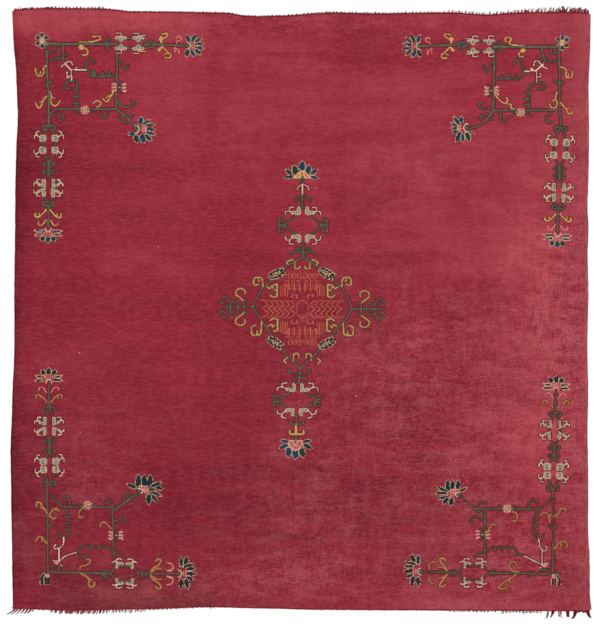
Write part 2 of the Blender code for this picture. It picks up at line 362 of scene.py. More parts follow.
class Shader:
    """A material's nodes, with short names for the ones that wool needs."""

    def __init__(self, name):
        self.material = bpy.data.materials.new(name)
        self.material.use_nodes = True
        self.tree = self.material.node_tree
        self.main = self.tree.nodes["Principled BSDF"]
        self.place = self.node("ShaderNodeTexCoord").outputs["Object"]

    def node(self, kind, **settings):
        made = self.tree.nodes.new(kind)
        for setting, value in settings.items():
            setattr(made, setting, value)
        return made

    def join(self, source, target):
        self.tree.links.new(source, target)

    def stretched(self, scale):
        """Places on the rug, scaled along x, y and z."""
        mapping = self.node("ShaderNodeMapping")
        mapping.inputs["Scale"].default_value = scale
        self.join(self.place, mapping.inputs["Vector"])
        return mapping.outputs["Vector"]

    def noise(self, scale, detail=2.0, rough=0.5):
        """Noise whose cells are 1 / scale metres, along x, y and z."""
        made = self.node("ShaderNodeTexNoise")
        made.inputs["Scale"].default_value = 1.0
        made.inputs["Detail"].default_value = detail
        made.inputs["Roughness"].default_value = rough
        self.join(self.stretched(scale), made.inputs["Vector"])
        return made.outputs["Fac"]

    def tufts(self, per_metre):
        """Distance from the middle of each tuft of pile."""
        made = self.node("ShaderNodeTexVoronoi")
        made.inputs["Scale"].default_value = per_metre
        made.inputs["Randomness"].default_value = 0.75
        self.join(self.place, made.inputs["Vector"])
        return made.outputs["Distance"]

    def spread(self, value, low, high, to_low=0.0, to_high=1.0):
        """Maps a range of a value onto another, and holds it at the ends."""
        made = self.node("ShaderNodeMapRange")
        limits = {"From Min": low, "From Max": high, "To Min": to_low, "To Max": to_high}
        for socket, limit in limits.items():
            made.inputs[socket].default_value = limit
        self.join(value, made.inputs["Value"])
        return made.outputs["Result"]

    def product(self, first, second):
        """Two values multiplied."""
        made = self.node("ShaderNodeMath", operation="MULTIPLY")
        self.join(first, made.inputs[0])
        self.join(second, made.inputs[1])
        return made.outputs[0]

    def shaded(self, colour, value):
        """The colour, darker or lighter by the value."""
        made = self.node("ShaderNodeHueSaturation")
        self.join(colour, made.inputs["Color"])
        self.join(value, made.inputs["Value"])
        return made.outputs["Color"]

    def towards(self, colour, other, share):
        """The colour, mixed with a fixed one by a share that varies."""
        made = self.node("ShaderNodeMix", data_type="RGBA")
        self.join(share, made.inputs["Factor"])
        self.join(colour, made.inputs["A"])
        made.inputs["B"].default_value = (*other, 1)
        return made.outputs["Result"]

    def attribute(self, name, output="Color"):
        """What the mesh keeps for each vertex under that name."""
        return self.node("ShaderNodeAttribute", attribute_name=name).outputs[output]

    def bump(self, height, strength, distance, under=None):
        """The surface's normal over a height, on top of another normal."""
        made = self.node("ShaderNodeBump")
        made.inputs["Strength"].default_value = strength
        made.inputs["Distance"].default_value = distance
        self.join(height, made.inputs["Height"])
        if under is not None:
            self.join(under, made.inputs["Normal"])
        return made.outputs["Normal"]

    def wool(self, colour, normal, roughness=0.95):
        """Ends the material: dry wool with a soft sheen."""
        self.join(colour, self.main.inputs["Base Color"])
        self.join(normal, self.main.inputs["Normal"])
        self.main.inputs["Roughness"].default_value = roughness
        self.main.inputs["Sheen Weight"].default_value = 0.03
        self.main.inputs["Sheen Roughness"].default_value = 0.5
        self.main.inputs["Specular IOR Level"].default_value = 0.05
        return self.material


def pile_normal(shader):
    """Tufts of pile in rows, and the soft unevenness of a used rug."""
    rows = shader.bump(shader.noise((60, 240, 60), 2.0), 0.5, 0.0010)
    return shader.bump(shader.tufts(TUFTS_PER_METRE), 0.6, 0.0012, under=rows)


def madder_pile():
    """The wool of the field: its dye from the mesh, then rows, warps and knots."""
    shader = Shader("madder_pile")
    worn = shader.attribute("worn", "Fac")
    colour = shader.attribute("dye")
    rows = shader.noise((20, 72, 20), 4.0, 0.65)
    warps = shader.noise((75, 16, 16), 3.0, 0.6)
    knots = shader.noise((120, 140, 120), 2.0, 0.7)
    for value in (
        shader.spread(rows, 0.3, 0.7, 0.88, 1.12),
        shader.spread(warps, 0.3, 0.7, 0.94, 1.06),
        shader.spread(knots, 0.3, 0.7, 0.84, 1.16),
    ):
        colour = shader.shaded(colour, value)
    colour = shader.towards(colour, DUSTY, shader.spread(rows, 0.45, 0.70, 0.0, 0.22))
    # Where the pile is worn, dull patches and single threads of the weave show.
    level = shader.noise((5, 17, 5), 4.0, 0.62)
    upright = shader.noise((17, 6, 6), 4.0, 0.62)
    threads = shader.noise((24, 84, 24), 3.0, 0.7)
    warp_threads = shader.noise((90, 22, 22), 3.0, 0.7)
    # Each row: a noise, the range of it that shows, how much of another colour it
    # adds at the low and at the high end of that range, and the colour.
    for value, low, high, at_low, at_high, other in (
        (level, 0.36, 0.52, 0.85, 0.00, MADDER),
        (upright, 0.36, 0.50, 0.70, 0.00, MADDER),
        (level, 0.48, 0.64, 0.00, 0.55, DUSTY),
        (upright, 0.50, 0.68, 0.00, 0.40, DUSTY),
        (threads, 0.34, 0.50, 0.58, 0.00, DEEP),
        (warp_threads, 0.34, 0.48, 0.56, 0.00, DEEP),
        (knots, 0.30, 0.43, 0.55, 0.00, DEEP),
        (threads, 0.50, 0.64, 0.00, 0.50, PALE),
        (warp_threads, 0.52, 0.66, 0.00, 0.42, PALE),
        (knots, 0.60, 0.72, 0.00, 0.62, FADED_WOOL),
    ):
        share = shader.product(shader.spread(value, low, high, at_low, at_high), worn)
        colour = shader.towards(colour, other, share)
    return shader.wool(colour, pile_normal(shader))


def cord_wool():
    """The wool wound round the side cords, with fine windings."""
    shader = Shader("selvedge_wool")
    colour = shader.attribute("dye")
    colour = shader.shaded(colour, shader.spread(shader.noise((60, 90, 60), 3.0), 0.3, 0.7, 0.78, 1.22))
    normal = shader.bump(shader.noise((500, 180, 500), 2.0), 0.5, 0.0008)
    return shader.wool(colour, normal, 0.9)


def fringe_wool():
    """The twisted wool of the end strips and the fringe."""
    shader = Shader("fringe_wool")
    colour = shader.attribute("dye")
    colour = shader.shaded(colour, shader.spread(shader.noise((110, 60, 60), 3.0), 0.3, 0.7, 0.75, 1.25))
    normal = shader.bump(shader.noise((700, 250, 500), 2.0), 0.5, 0.0006)
    return shader.wool(colour, normal, 0.88)


def yarn_wool(name, colour, deep, pale):
    """The wool of one dyed yarn, from its deep knots to its pale ones."""
    shader = Shader(name)
    base = shader.node("ShaderNodeMix", data_type="RGBA")
    shader.join(shader.spread(shader.noise((70, 110, 70), 3.0), 0.3, 0.7), base.inputs["Factor"])
    base.inputs["A"].default_value = (*deep, 1)
    base.inputs["B"].default_value = (*pale, 1)
    even = shader.spread(shader.noise((9, 14, 9), 2.0), 0.35, 0.65, 0.25, 0.75)
    mixed = shader.towards(base.outputs["Result"], colour, even)
    mixed = shader.shaded(mixed, shader.spread(shader.noise((230, 230, 230), 1.0), 0.25, 0.75, 0.82, 1.18))
    return shader.wool(mixed, pile_normal(shader))


# ---------------------------------------------------------------- the field


def rim_places(length, cells):
    """Shares of a length, evenly spaced, with a few more close to both ends to
    round the rim."""
    rim = np.array([0, 0.0005, 0.0013, RIM_ROUND]) / length
    even = np.linspace(0, 1, cells)[1:-1]
    return np.concatenate([rim, even, 1 - rim[::-1]])


def pile_field():
    """The knotted pile as one closed sheet on the CAD's outline."""
    width, length = 2 * HALF_WIDTH, 2 * HALF_LENGTH
    s, t = rim_places(width, FIELD_CELLS[0]), rim_places(length, FIELD_CELLS[1])
    flat = on_rug(s, t)
    x, y = flat[..., 0], flat[..., 1]
    from_side = np.minimum(s, 1 - s)[None, :] * width
    from_end = np.minimum(t, 1 - t)[:, None] * length
    inward = np.clip(np.minimum(from_side, from_end), 0, RIM_ROUND) / RIM_ROUND
    height = pile_height(x, y) - RIM_ROUND * (1 - np.sqrt(1 - (1 - inward) ** 2))
    points = np.stack([x, y, height], axis=-1).reshape(-1, 3)
    rows, columns = len(t), len(s)
    index = np.arange(rows * columns).reshape(rows, columns)
    quads = np.stack([index[:-1, :-1], index[:-1, 1:], index[1:, 1:], index[1:, :-1]], axis=-1)
    ring = np.concatenate([index[0, :-1], index[:-1, -1], index[-1, :0:-1], index[:0:-1, 0]])
    foot = points[ring].copy()
    foot[:, 2] = FIELD_FOOT
    lower = np.arange(len(ring)) + len(points)
    walls = np.stack([ring, lower, np.roll(lower, -1), np.roll(ring, -1)], axis=-1)
    faces = quads.reshape(-1, 4).tolist() + walls.tolist() + [lower[::-1].tolist()]
    points = np.concatenate([points, foot])
    piece = new_piece("rug_field", points, faces, madder_pile())
    tint(piece, "dye", field_dye(points[:, 0], points[:, 1]))
    worn = piece.data.attributes.new("worn", "FLOAT", "POINT")
    worn.data.foreach_set("value", wear_of(points[:, 0], points[:, 1]).astype(np.float32))
    return piece


# ---------------------------------------------------------------- the cartoon

# The dyed yarns of the pattern: the name, then the ordinary colour, its deepest
# knots and its palest ones.
Yarn = namedtuple("Yarn", "name colour deep pale")
YARNS = [
    Yarn("stem", (87, 86, 72), (54, 56, 48), (118, 114, 96)),
    Yarn("leaf", (66, 86, 68), (40, 62, 48), (98, 110, 88)),
    Yarn("vine", (84, 74, 60), (56, 46, 42), (118, 110, 92)),
    Yarn("sprig", (74, 78, 60), (48, 52, 42), (106, 104, 82)),
    Yarn("navy", (30, 56, 74), (18, 42, 50), (42, 76, 96)),
    Yarn("teal", (24, 54, 46), (14, 42, 38), (38, 74, 62)),
    Yarn("slate", (28, 42, 50), (18, 32, 36), (40, 56, 66)),
    Yarn("pine", (24, 42, 36), (16, 32, 28), (36, 56, 46)),
    Yarn("cream", (192, 150, 124), (160, 116, 96), (216, 182, 154)),
    Yarn("gold", (194, 146, 86), (150, 104, 58), (218, 178, 120)),
    Yarn("amber", (162, 112, 74), (128, 80, 56), (190, 144, 98)),
    Yarn("straw", (178, 146, 86), (138, 106, 62), (206, 176, 112)),
    Yarn("ivory", (214, 174, 152), (180, 134, 118), (236, 204, 180)),
    Yarn("cloud", (148, 146, 124), (114, 122, 100), (176, 168, 146)),
    Yarn("rose", (196, 116, 108), (164, 76, 78), (218, 148, 134)),
    Yarn("coral", (174, 82, 62), (142, 50, 48), (200, 112, 82)),
    Yarn("shade", (62, 42, 40), (44, 32, 30), (84, 54, 48)),
    Yarn("brown", (124, 70, 46), (100, 52, 36), (144, 88, 58)),
    Yarn("olive", (106, 76, 48), (84, 58, 38), (128, 96, 62)),
    Yarn("maroon", (108, 26, 36), (94, 16, 28), (124, 38, 46)),
]
YARN_NUMBER = {yarn.name: number + 1 for number, yarn in enumerate(YARNS)}

# The darker yarn that outlines the motifs of each colour, one knot wide, and how
# much it takes of a stroke's own half width.
Outline = namedtuple("Outline", "yarn taken")
OUTLINES = {
    "stem": Outline("shade", 0.4), "leaf": Outline("shade", 0.4), "vine": Outline("shade", 0.4),
    "sprig": Outline("shade", 0.4), "gold": Outline("brown", 0.3), "amber": Outline("brown", 0.4),
    "straw": Outline("olive", 0.3), "ivory": Outline("shade", 0.35), "cloud": Outline("shade", 0.0),
    "shade": Outline("maroon", 0.0), "brown": Outline("maroon", 0.0), "olive": Outline("maroon", 0.0),
}
# In the bottom half a duller yarn takes the place of each of these.
BOTTOM_LOTS = {"stem": "vine", "leaf": "sprig", "navy": "slate", "teal": "pine", "gold": "amber"}


class Cartoon:
    """The pattern as a yarn number for each knot, or 0 for the plain field."""

    def __init__(self):
        self.knots = np.zeros((CARTOON_ROWS, CARTOON_COLUMNS), np.uint8)
        self.x = np.arange(CARTOON_COLUMNS) + 0.5 - CARTOON_COLUMNS / 2
        self.y = np.arange(CARTOON_ROWS) + 0.5 - CARTOON_ROWS / 2
        # The yarns that are tied from another lot now, each with that lot's name.
        self.lots = {}

    def window(self, points, reach):
        """The part of the cartoon round some points, and its knots' places."""
        low, high = np.min(points, axis=0) - reach, np.max(points, axis=0) + reach
        columns = slice(*np.searchsorted(self.x, [low[0], high[0]]))
        rows = slice(*np.searchsorted(self.y, [low[1], high[1]]))
        return self.knots[rows, columns], *np.meshgrid(self.x[columns], self.y[rows])

    def stroke(self, yarn, width, start, stop):
        """Ties the knots within half a width of a straight stroke."""
        yarn = self.lots.get(yarn, yarn)
        part, x, y = self.window([start, stop], width)
        run = np.subtract(stop, start)
        length = max(float(run @ run), 1e-9)
        share = np.clip(((x - start[0]) * run[0] + (y - start[1]) * run[1]) / length, 0, 1)
        away = np.hypot(x - start[0] - share * run[0], y - start[1] - share * run[1])
        taken = OUTLINES[yarn].taken if yarn in OUTLINES else 0
        part[away <= max(width / 2 - taken, THINNEST_HALF)] = YARN_NUMBER.get(yarn, 0)

    def fill(self, yarn, outline):
        """Ties the knots inside a closed outline."""
        yarn = self.lots.get(yarn, yarn)
        outline = np.asarray(outline, float)
        part, x, y = self.window(outline, 1)
        inside = np.zeros(x.shape, bool)
        for (x0, y0), (x1, y1) in zip(outline, np.roll(outline, -1, axis=0)):
            if y0 != y1:
                crosses = (y0 > y) != (y1 > y)
                inside ^= crosses & (x < (x1 - x0) * (y - y0) / (y1 - y0) + x0)
        part[inside] = YARN_NUMBER.get(yarn, 0)


def rounded(points, steps=5):
    """A smooth curve through the points."""
    points = np.array(points, float)
    padded = np.concatenate([[2 * points[0] - points[1]], points, [2 * points[-1] - points[-2]]])
    made = []
    for p0, p1, p2, p3 in zip(padded, padded[1:], padded[2:], padded[3:]):
        for t in np.arange(steps) / steps:
            made.append(
                0.5 * (2 * p1 + (p2 - p0) * t + (2 * p0 - 5 * p1 + 4 * p2 - p3) * t**2
                       + (3 * p1 - p0 - 3 * p2 + p3) * t**3)
            )
    return np.array(made + [points[-1]])


class Pen:
    """Draws on the cartoon from a place of its own, in knots along and aside."""

    def __init__(self, cartoon, x, y, along=(1, 0), aside=(0, 1), weight=1.0):
        self.cartoon = cartoon
        self.origin = np.array([x, y], float)
        self.axes = np.array([along, aside], float)
        self.weight = weight

    def place(self, points):
        """The pen's own points as points of the cartoon."""
        return self.origin + np.array(points, float) @ self.axes

    def moved(self, along, aside, turn=0.0, flip=1):
        """A pen at that place, turned from along towards aside, in degrees. A flip
        of -1 mirrors what lies aside."""
        x, y = self.place([(along, aside)])[0]
        c, s = math.cos(math.radians(turn)), math.sin(math.radians(turn))
        turned = np.array([[c, s], [-s * flip, c * flip]]) @ self.axes
        return Pen(self.cartoon, x, y, turned[0], turned[1], self.weight)

    def line(self, yarn, width, *points):
        placed = self.place(points)
        for start, stop in zip(placed, placed[1:]):
            self.cartoon.stroke(yarn, width * self.weight, start, stop)

    def curve(self, yarn, width, *points):
        self.line(yarn, width, *rounded(points))

    def patch(self, yarn, *points):
        """A closed patch of one yarn, with straight sides."""
        self.cartoon.fill(yarn, self.place(points))

    def spot(self, yarn, along, aside, reach, reach_aside=None):
        """A round or oval patch."""
        turns = np.radians(np.arange(0, 360, 15))
        across = reach if reach_aside is None else reach_aside
        rim = np.stack([along + reach * np.cos(turns), aside + across * np.sin(turns)], axis=-1)
        self.patch(yarn, *rim)

    def hook(self, width, *points):
        """A curled hook: a brown stroke with a golden one along one side of it."""
        self.curve("brown", (width + 0.6) / self.weight, *points)
        self.moved(0.5, 0.5).curve("gold", (width - 0.4) / self.weight, *points)

    def mirrored(self):
        """The two hands of this pen, for a motif with a left and a right."""
        return self, self.moved(0, 0, flip=-1)


# ---------------------------------------------------------------- motifs

# A petal of a flower: its middle from the flower's heart, the way it points in
# degrees from along towards aside, its length and its width.
Petal = namedtuple("Petal", "along aside turn length width")


def petal(pen, row, fill="navy", rim="cream", full=1.0):
    """A petal with a blunt foot, straight sides, a pointed tip and a thin rim."""
    at = pen.moved(row.along, row.aside, row.turn)
    for yarn, grown in ((rim, 0.7), (fill, 0.0)):
        long, wide = 0.53 * row.length * full + grown, 0.56 * row.width * full + grown
        half = [
            (-long, 0.55 * wide), (-0.7 * long, 0.9 * wide), (0.12 * long, wide), (0.66 * long, 0.7 * wide)
        ]
        at.patch(yarn, *half, (long * 1.12, 0), *[(a, -b) for a, b in half[::-1]])


def petals(pen, rows, full=1.0):
    """A flower's petals, navy and teal in turn."""
    for number, row in enumerate(rows):
        petal(pen, row, ("navy", "teal")[number % 2], full=full)


def lotus(pen, rows):
    """A palmette seen from the side, on a stem that comes from behind it."""
    petals(pen, rows)
    pen.spot("plain", -3.4, 0, 6.6, 6.2)
    pen.spot("rose", 1.6, 0.5, 3.6, 5.2)
    for aside in (-2.8, 0.4, 3.8):
        pen.line("plain", 1.1, (-1.5, aside), (3, aside))
    pen.line("cream", 1.2, (5.0, -3.4), (5.2, 4.6))
    pen.spot("leaf", -9.0, 0, 3.2, 3.2)
    pen.curve("ivory", 2.4, (-11.4, -5.6), (-7.5, -5), (-4.8, -1.4), (-5, 2), (-7, 5), (-10, 6.6))


def wide_lotus(pen, rows):
    """The broader palmette of a bottom corner, with three upright petals."""
    petals(pen, rows, full=1.12)
    pen.patch("plain", (-11, 5.6), (4, 5.2), (5.2, -2), (4, -7), (-6, -9), (-12, -4))
    pen.patch("rose", (-8, 5), (3.6, 4.8), (4.4, -2), (3.6, -6), (0, -6.4), (-0.6, -2.4), (-4.4, 0.4),
              (-8, 2))
    for along in (-6.6, -4.2, -1.8):
        pen.line("plain", 1.2, (along, 5), (along + 0.4, 1.6))
    for aside in (2.6, 0, -2.8, -5):
        pen.line("plain", 1.2, (0.6, aside), (3.6, aside))
    pen.line("cream", 1.2, (4.9, 4.6), (4.8, -6.4))
    pen.line("cream", 1.1, (-8.6, 5.4), (3.4, 5.2))
    pen.spot("leaf", -7.4, -2.6, 2.8, 2.8)
    pen.curve("ivory", 2.2, (-10.4, 1.6), (-6.4, 1), (-3, -1), (-2.6, -3.4), (-5.6, -6.4))


def level_lotus(pen, rows, full=1.0):
    """The smaller palmette at the end of a spray along the rug's edge."""
    petals(pen, rows, full=full)
    pen.spot("plain", -1, 0, 5.6, 5.4)
    pen.spot("coral", 1.0, 0, 2.4, 4.4)
    pen.line("rose", 1.3, (-0.8, -3.4), (-0.8, 3.4))
    pen.line("plain", 1.0, (1.2, -2.6), (1.2, 2.6))
    pen.line("rose", 1.2, (2.8, -3.4), (2.8, 3.4))
    pen.spot("leaf", -7.2, 0, 2.6, 2.8)
    pen.curve("cream", 1.9, (-8.4, -5.2), (-5, -3.4), (-3.5, 0), (-5, 3.4), (-8.4, 5.2))


LEVEL_LOTUS = [
    Petal(-7, -10.8, -112, 11.5, 5.2), Petal(1.6, -11.5, -62, 12, 4.8), Petal(8, -8.5, -40, 12, 3.8),
    Petal(10.2, -3, -8, 13, 3.4), Petal(10.2, 3.4, 5, 12.5, 4), Petal(8, 9.4, 42, 11, 4.4),
    Petal(0, 11.2, 60, 11.5, 5), Petal(-8, 11, 108, 10.5, 5.8),
]
LEFT_LOTUS = [
    Petal(-2.5, -12.6, -80, 10, 7), Petal(6.2, -9.9, -30, 12, 4.2), Petal(12, -6.3, -3, 11, 3.6),
    Petal(12.8, 0.5, 6, 12, 3.8), Petal(13, 6.6, 16, 13, 4.2), Petal(8.9, 13.5, 42, 13, 5.6),
    Petal(0.8, 15, 75, 12, 7.6), Petal(-9, 15, 75, 11, 6.8), Petal(-16.4, 7.5, 180, 10.5, 4),
]
RIGHT_LOTUS = [
    Petal(-1, -11.4, -100, 10, 6), Petal(6, -10.2, -55, 13.5, 5), Petal(9.6, -4, -28, 10, 4),
    Petal(9, 1.5, 0, 9, 3.2), Petal(7.4, 6.4, 18, 10, 4.6), Petal(3.3, 14.3, 62, 15, 6),
    Petal(-3.4, 16, 92, 10, 5), Petal(-11.2, 13.8, 112, 14, 6), Petal(-16.5, 8.2, 160, 8, 2.8),
]
WIDE_LEFT = [
    Petal(-9.3, 11.2, 92, 18, 6.8), Petal(-0.8, 12.2, 90, 15.4, 6.8), Petal(8, 11.4, 88, 17, 6.6),
    Petal(-19.8, 5.4, 157, 12, 4.4), Petal(17.2, 7.6, 23, 15, 4), Petal(22, 1.6, -3, 9, 4.2),
    Petal(12.4, -0.6, 0, 11, 2.8), Petal(17, -6.4, -22, 14, 3.4), Petal(13, -12, -44, 16, 4.6),
    Petal(6, -14.5, -90, 12, 6.6),
]
WIDE_RIGHT = [
    Petal(9, 11.6, 90, 13.5, 6), Petal(2, 12.6, 90, 11, 5.4), Petal(-6, 10.8, 97, 15, 5.4),
    Petal(-14, 5.2, 147, 9, 3.4), Petal(17, 5.6, 27, 15, 3.6), Petal(19, 0.2, 3, 15, 3.8),
    Petal(16.2, -6.6, -10, 15, 3.2), Petal(12.4, -11.8, -50, 10, 4.6), Petal(3.8, -13.3, -80, 9, 6),
]


def flat_lotus(pen):
    """The flower at the end of an upright spray, seen flat on, heading along."""
    for hand in pen.mirrored():
        hand.patch("cream", (-5.2, 6), (-5.3, 18), (-3.8, 22.4), (-0.6, 17.4), (-0.7, 6))
        hand.patch("navy", (-4.3, 7), (-4.4, 17.4), (-3.5, 20.2), (-1.5, 16.8), (-1.5, 7))
        hand.patch("cream", (-0.5, 6), (0.5, 17), (4.6, 21.8), (5.0, 15.6), (3.6, 7))
        hand.patch("teal", (0.3, 7), (1.4, 16.4), (3.9, 19.4), (4.0, 15.2), (2.7, 7.6))
        petal(hand, Petal(9, 8.2, 28, 7.4, 6), "teal")
    petal(pen, Petal(10.5, 0, 0, 9, 6.4))
    pen.spot("plain", -1, 0, 6.4, 7.2)
    pen.spot("rose", 1.6, 0, 4.8, 6.4)
    for aside in (-4.4, -1.5, 1.5, 4.4):
        pen.line("plain", 1.0, (-0.6, aside), (4.6, aside))
    pen.line("coral", 1.2, (5.4, -4.6), (5.4, 4.6))
    pen.curve("cream", 1.9, (-6.8, -4), (-4, -3.6), (-1.7, 0), (-4, 3.6), (-6.8, 4))


def ball_hook(pen, way):
    """The forked hook that a cloud throws out to the side, curled back."""
    pen.curve("ivory", 1.8, (way * 1, 4), (way * 3.8, 7.4), (way * 6.4, 9.6), (way * 9.4, 9.2),
              (way * 10.2, 5.6))
    pen.curve("ivory", 1.7, (way * 4.4, 8.6), (way * 4.4, 12.2), (way * -0.6, 12.6))


def dotted(pen, yarn, reach, *places):
    """Little round spots of one yarn."""
    for along, aside in places:
        pen.spot(yarn, along, aside, reach, reach)


def octagon(pen, yarn, reach, reach_aside, flat):
    """An eight-sided patch; flat is half of each of its four level or upright sides."""
    half = [(-reach, -flat), (-flat, -reach_aside), (flat, -reach_aside), (reach, -flat)]
    pen.patch(yarn, *half, *[(-along, -aside) for along, aside in half])


def cloud_ball(pen, way):
    """A round cloud knot, its hook thrown forwards or back along the pen."""
    ball_hook(pen, way)
    octagon(pen, "cream", 5.4, 5.2, 3)
    octagon(pen, "cloud", 4.4, 4.2, 2.4)
    pen.line("leaf", 1.2, (way * -2.8, -1.8), (way * -2.8, 2), (way * -0.4, 2), (way * -0.4, -0.6))
    pen.line("leaf", 1.1, (way * 2.2, 1.8), (way * 2.2, -2))


def cloud_comma(pen, way):
    """A cloud like a comma: an upright body, and an arm out to a forked hook."""
    for yarn, grown in (("cream", 0.9), ("cloud", 0.0)):
        pen.line(yarn, 4.2 + 1.6 * grown, (way * 4.6, -1), (way * -3.6, -1))
        pen.line(yarn, 2.4 + 1.6 * grown, (way * -4, 0), (way * -1.6, 5.6), (way * 2, 9.6))
    dotted(pen, "leaf", 1.0, (way * 3.4, -1.4), (way * 0.4, -0.6), (way * -2.4, -1.6), (way * -2.8, 3.4))
    pen.line("ivory", 1.7, (way * 1, 10.6), (way * 1, 13.4), (way * -2.7, 13.6))
    pen.line("ivory", 1.7, (way * 3, 9.8), (way * 6.2, 9), (way * 6.2, 4.8))


def level_cloud(pen, second):
    """A cloud band lying along the pen: two wings, a ring with a rosy eye, and a
    hook that stands off it. The second of a pair has a prong as well."""
    for hand in (1, -1):
        pen.line("cream", 4.8, (hand * 3.6, -0.4), (hand * 6.6, -0.4))
        pen.line("cloud", 3.2, (hand * 3.6, 0), (hand * 6.6, 0))
    pen.spot("cream", 0, 1.0, 4.4, 4.6)
    pen.spot("cloud", 0, 1.4, 3.4, 3.6)
    dotted(pen, "leaf", 0.9, (-4.8, 0.2), (4.8, 0.2), (-1.8, 3), (1.8, 3.2), (0, 1.6))
    pen.spot("rose", 0, -1.0, 1.4, 1.1)
    pen.curve("ivory", 1.8, (0.4, -2.6), (0.7, -6), (-1, -7.6), (-4, -7.8), (-7.4, -7.2))
    if second:
        pen.line("ivory", 1.6, (2.6, -2.4), (3.6, -4.4), (10, -4.2))


def curled_bar(pen, half, curl, width):
    """A bar across the pen whose two ends curl forwards along it."""
    bend = [(0, 0), (-0.6, half * 0.5), (0.4, half), (curl, half - 0.6), (curl, half - 3.4)]
    for hand in pen.mirrored():
        hand.curve("leaf", width, *bend)


def legs(pen, near, far, spread):
    """Two thin stems that part from the middle to a pair of clouds."""
    for hand in pen.mirrored():
        hand.line("stem", 2.0, (near, 1), (far, spread))


def gold_pair(pen):
    """Two long golden hooks that sweep forwards from the stem, each with a tongue."""
    for hand in pen.mirrored():
        hand.curve("gold", 2.4, (-5, 3), (0.6, 7.6), (4.6, 12), (6.6, 16), (4.4, 19.6), (1, 19))
        hand.line("gold", 1.8, (4.6, 13), (0.4, 13.6))


def small_pair(pen, yarn):
    """Two short hooks nearest to the flower."""
    for hand in pen.mirrored():
        hand.curve(yarn, 1.5, (-4.5, 3), (1.5, 7.5), (3.8, 11.2), (1.5, 15), (-0.8, 14))


def cross(pen, half):
    """A small cross-bar on a stem, its ends turned over."""
    for hand in pen.mirrored():
        hand.curve("leaf", 2.6, (0, 0), (0, half - 1), (2.2, half), (4.4, half - 1.6))
    pen.spot("leaf", 0, 0, 2.6, 3.4)


def ring_bud(pen, half):
    """A bud like a green ring, with the stem's end in it."""
    pen.spot("leaf", 0, 0, half, half)
    pen.spot("plain", -0.3, 0, half - 2.4, half - 2.2)
    pen.line("leaf", 2.0, (-half, 0), (half * 0.4, 0))


def rosette(pen, turn=0.0):
    """The small rosette on a line: rosy petals, a pale ring and a dark eye."""
    for step in range(8):
        arm = pen.moved(0, 0, turn + 22.5 + 45 * step)
        arm.line("rose" if step % 2 else "cream", 2.8 / pen.weight, (3.6, 0), (5.6, 0))
    pen.spot("shade", 0, 0, 3.8, 3.8)
    pen.spot("cream", 0, 0, 3.0, 3.0)
    pen.spot("straw", 0, 0, 2.0, 2.0)
    pen.spot("shade", 0, 0, 1.0, 1.0)


def side_rosette(pen):
    """The flower that an upright stem runs through, its pink petals left and right."""
    for aside in (-4.4, 0, 4.4):
        right = ((7.6, aside), (9.6, aside * 1.1 + 0.8), (12, aside * 1.2 - 0.6))
        left = ((-3, aside), (-5.4, aside * 1.1 - 0.8), (-8, aside * 1.2 + 0.6))
        for petal_line in (right, left):
            pen.curve("rose", 3.0, *petal_line)
            pen.curve("cream", 1.4, *petal_line)
    pen.line("gold", 1.8, (-2.4, -4), (-2.4, 4))
    pen.line("leaf", 2.0, (5.6, -8.6), (4.6, -4), (5.4, 0), (4.6, 4), (5.6, 8.6))
    pen.spot("shade", 2.6, 0, 2.2, 2.4)
    pen.spot("rose", 2.6, 0, 1.2, 1.4)


def corner_rosette(pen):
    """The rosette where the stems meet: blunt dark petals round a cream heart."""
    petal(pen.moved(0, 0, 36), Petal(6.4, 0, 0, 5, 3), "stem", "straw")
    for number, (turn, away, half, wide) in enumerate((
        (-92, 8.6, 3.2, 2.9),
        (-38, 7.8, 3.0, 2.7),
        (88, 7.8, 3.2, 3.1),
        (148, 7.6, 2.9, 2.9),
        (215, 8.0, 3.2, 3.1),
    )):
        at = pen.moved(0, 0, turn).moved(away, 0)
        for yarn, grown in (("cream", 0.7), (("navy", "teal")[number % 2], 0.0)):
            long, broad = half + grown, wide + grown
            at.patch(yarn, (-long, -0.6 * broad), (0.4 * long, -broad), (long, -0.6 * broad),
                     (long, 0.6 * broad), (0.4 * long, broad), (-long, 0.6 * broad))
    pen.spot("cream", 0, 0, 3.4, 4.2)
    pen.spot("gold", 0, 0, 1.6, 2.2)


def toothed(pen, start, stop, teeth, length):
    """A straight line with short blunt teeth to one side of it, or to the other
    where the length is below zero. The teeth are shares of the way along."""
    width = 2.4
    pen.line("leaf", width, start, stop)
    start, stop = np.array(start, float), np.array(stop, float)
    run = (stop - start) / np.linalg.norm(stop - start)
    out = np.array([-run[1], run[0]])
    for share in teeth:
        foot = start + (stop - start) * share
        pen.line("leaf", width + 0.8, foot, foot + out * length * 0.85)


# The places along the stem of an upright spray, counted from its flower.
Stem = namedtuple(
    "Stem", "small_hooks gold_hooks near_bar comma_in comma_out bar_in bar_out ball_in ball_out far_bar"
)
# An upright spray: the place of its flower, the ways along and aside, the weight of
# its strokes, the yarn of its small hooks and the places along its stem.
Spray = namedtuple("Spray", "x y along aside weight small_yarn stem")
TOP_SPRAYS = [
    Spray(-379.5, 117, (0.01, 1), (1, -0.01), 1.0, "gold",
          Stem(15, 30, 42, 61.5, 74, 94, 101, 124, 142, 160)),
    Spray(384.6, 110, (0.03, 1), (-1, 0.03), 0.9, "rose",
          Stem(15, 31, 44, 60.5, 75, 94, 101, 123.6, 142.6, 165)),
]
BOTTOM_SPRAYS = [
    Spray(-378.4, -101, (0.01, -1), (1, 0.01), 0.9, "rose",
          Stem(17, 31, 44, 65, 79, 97, 107, 125, 137, 160)),
    Spray(382.6, -113, (-0.03, -1), (-1, 0.03), 0.75, "rose",
          Stem(14, 28, 40, 58, 73.6, 94, 103, 121, 134, 154.6)),
]


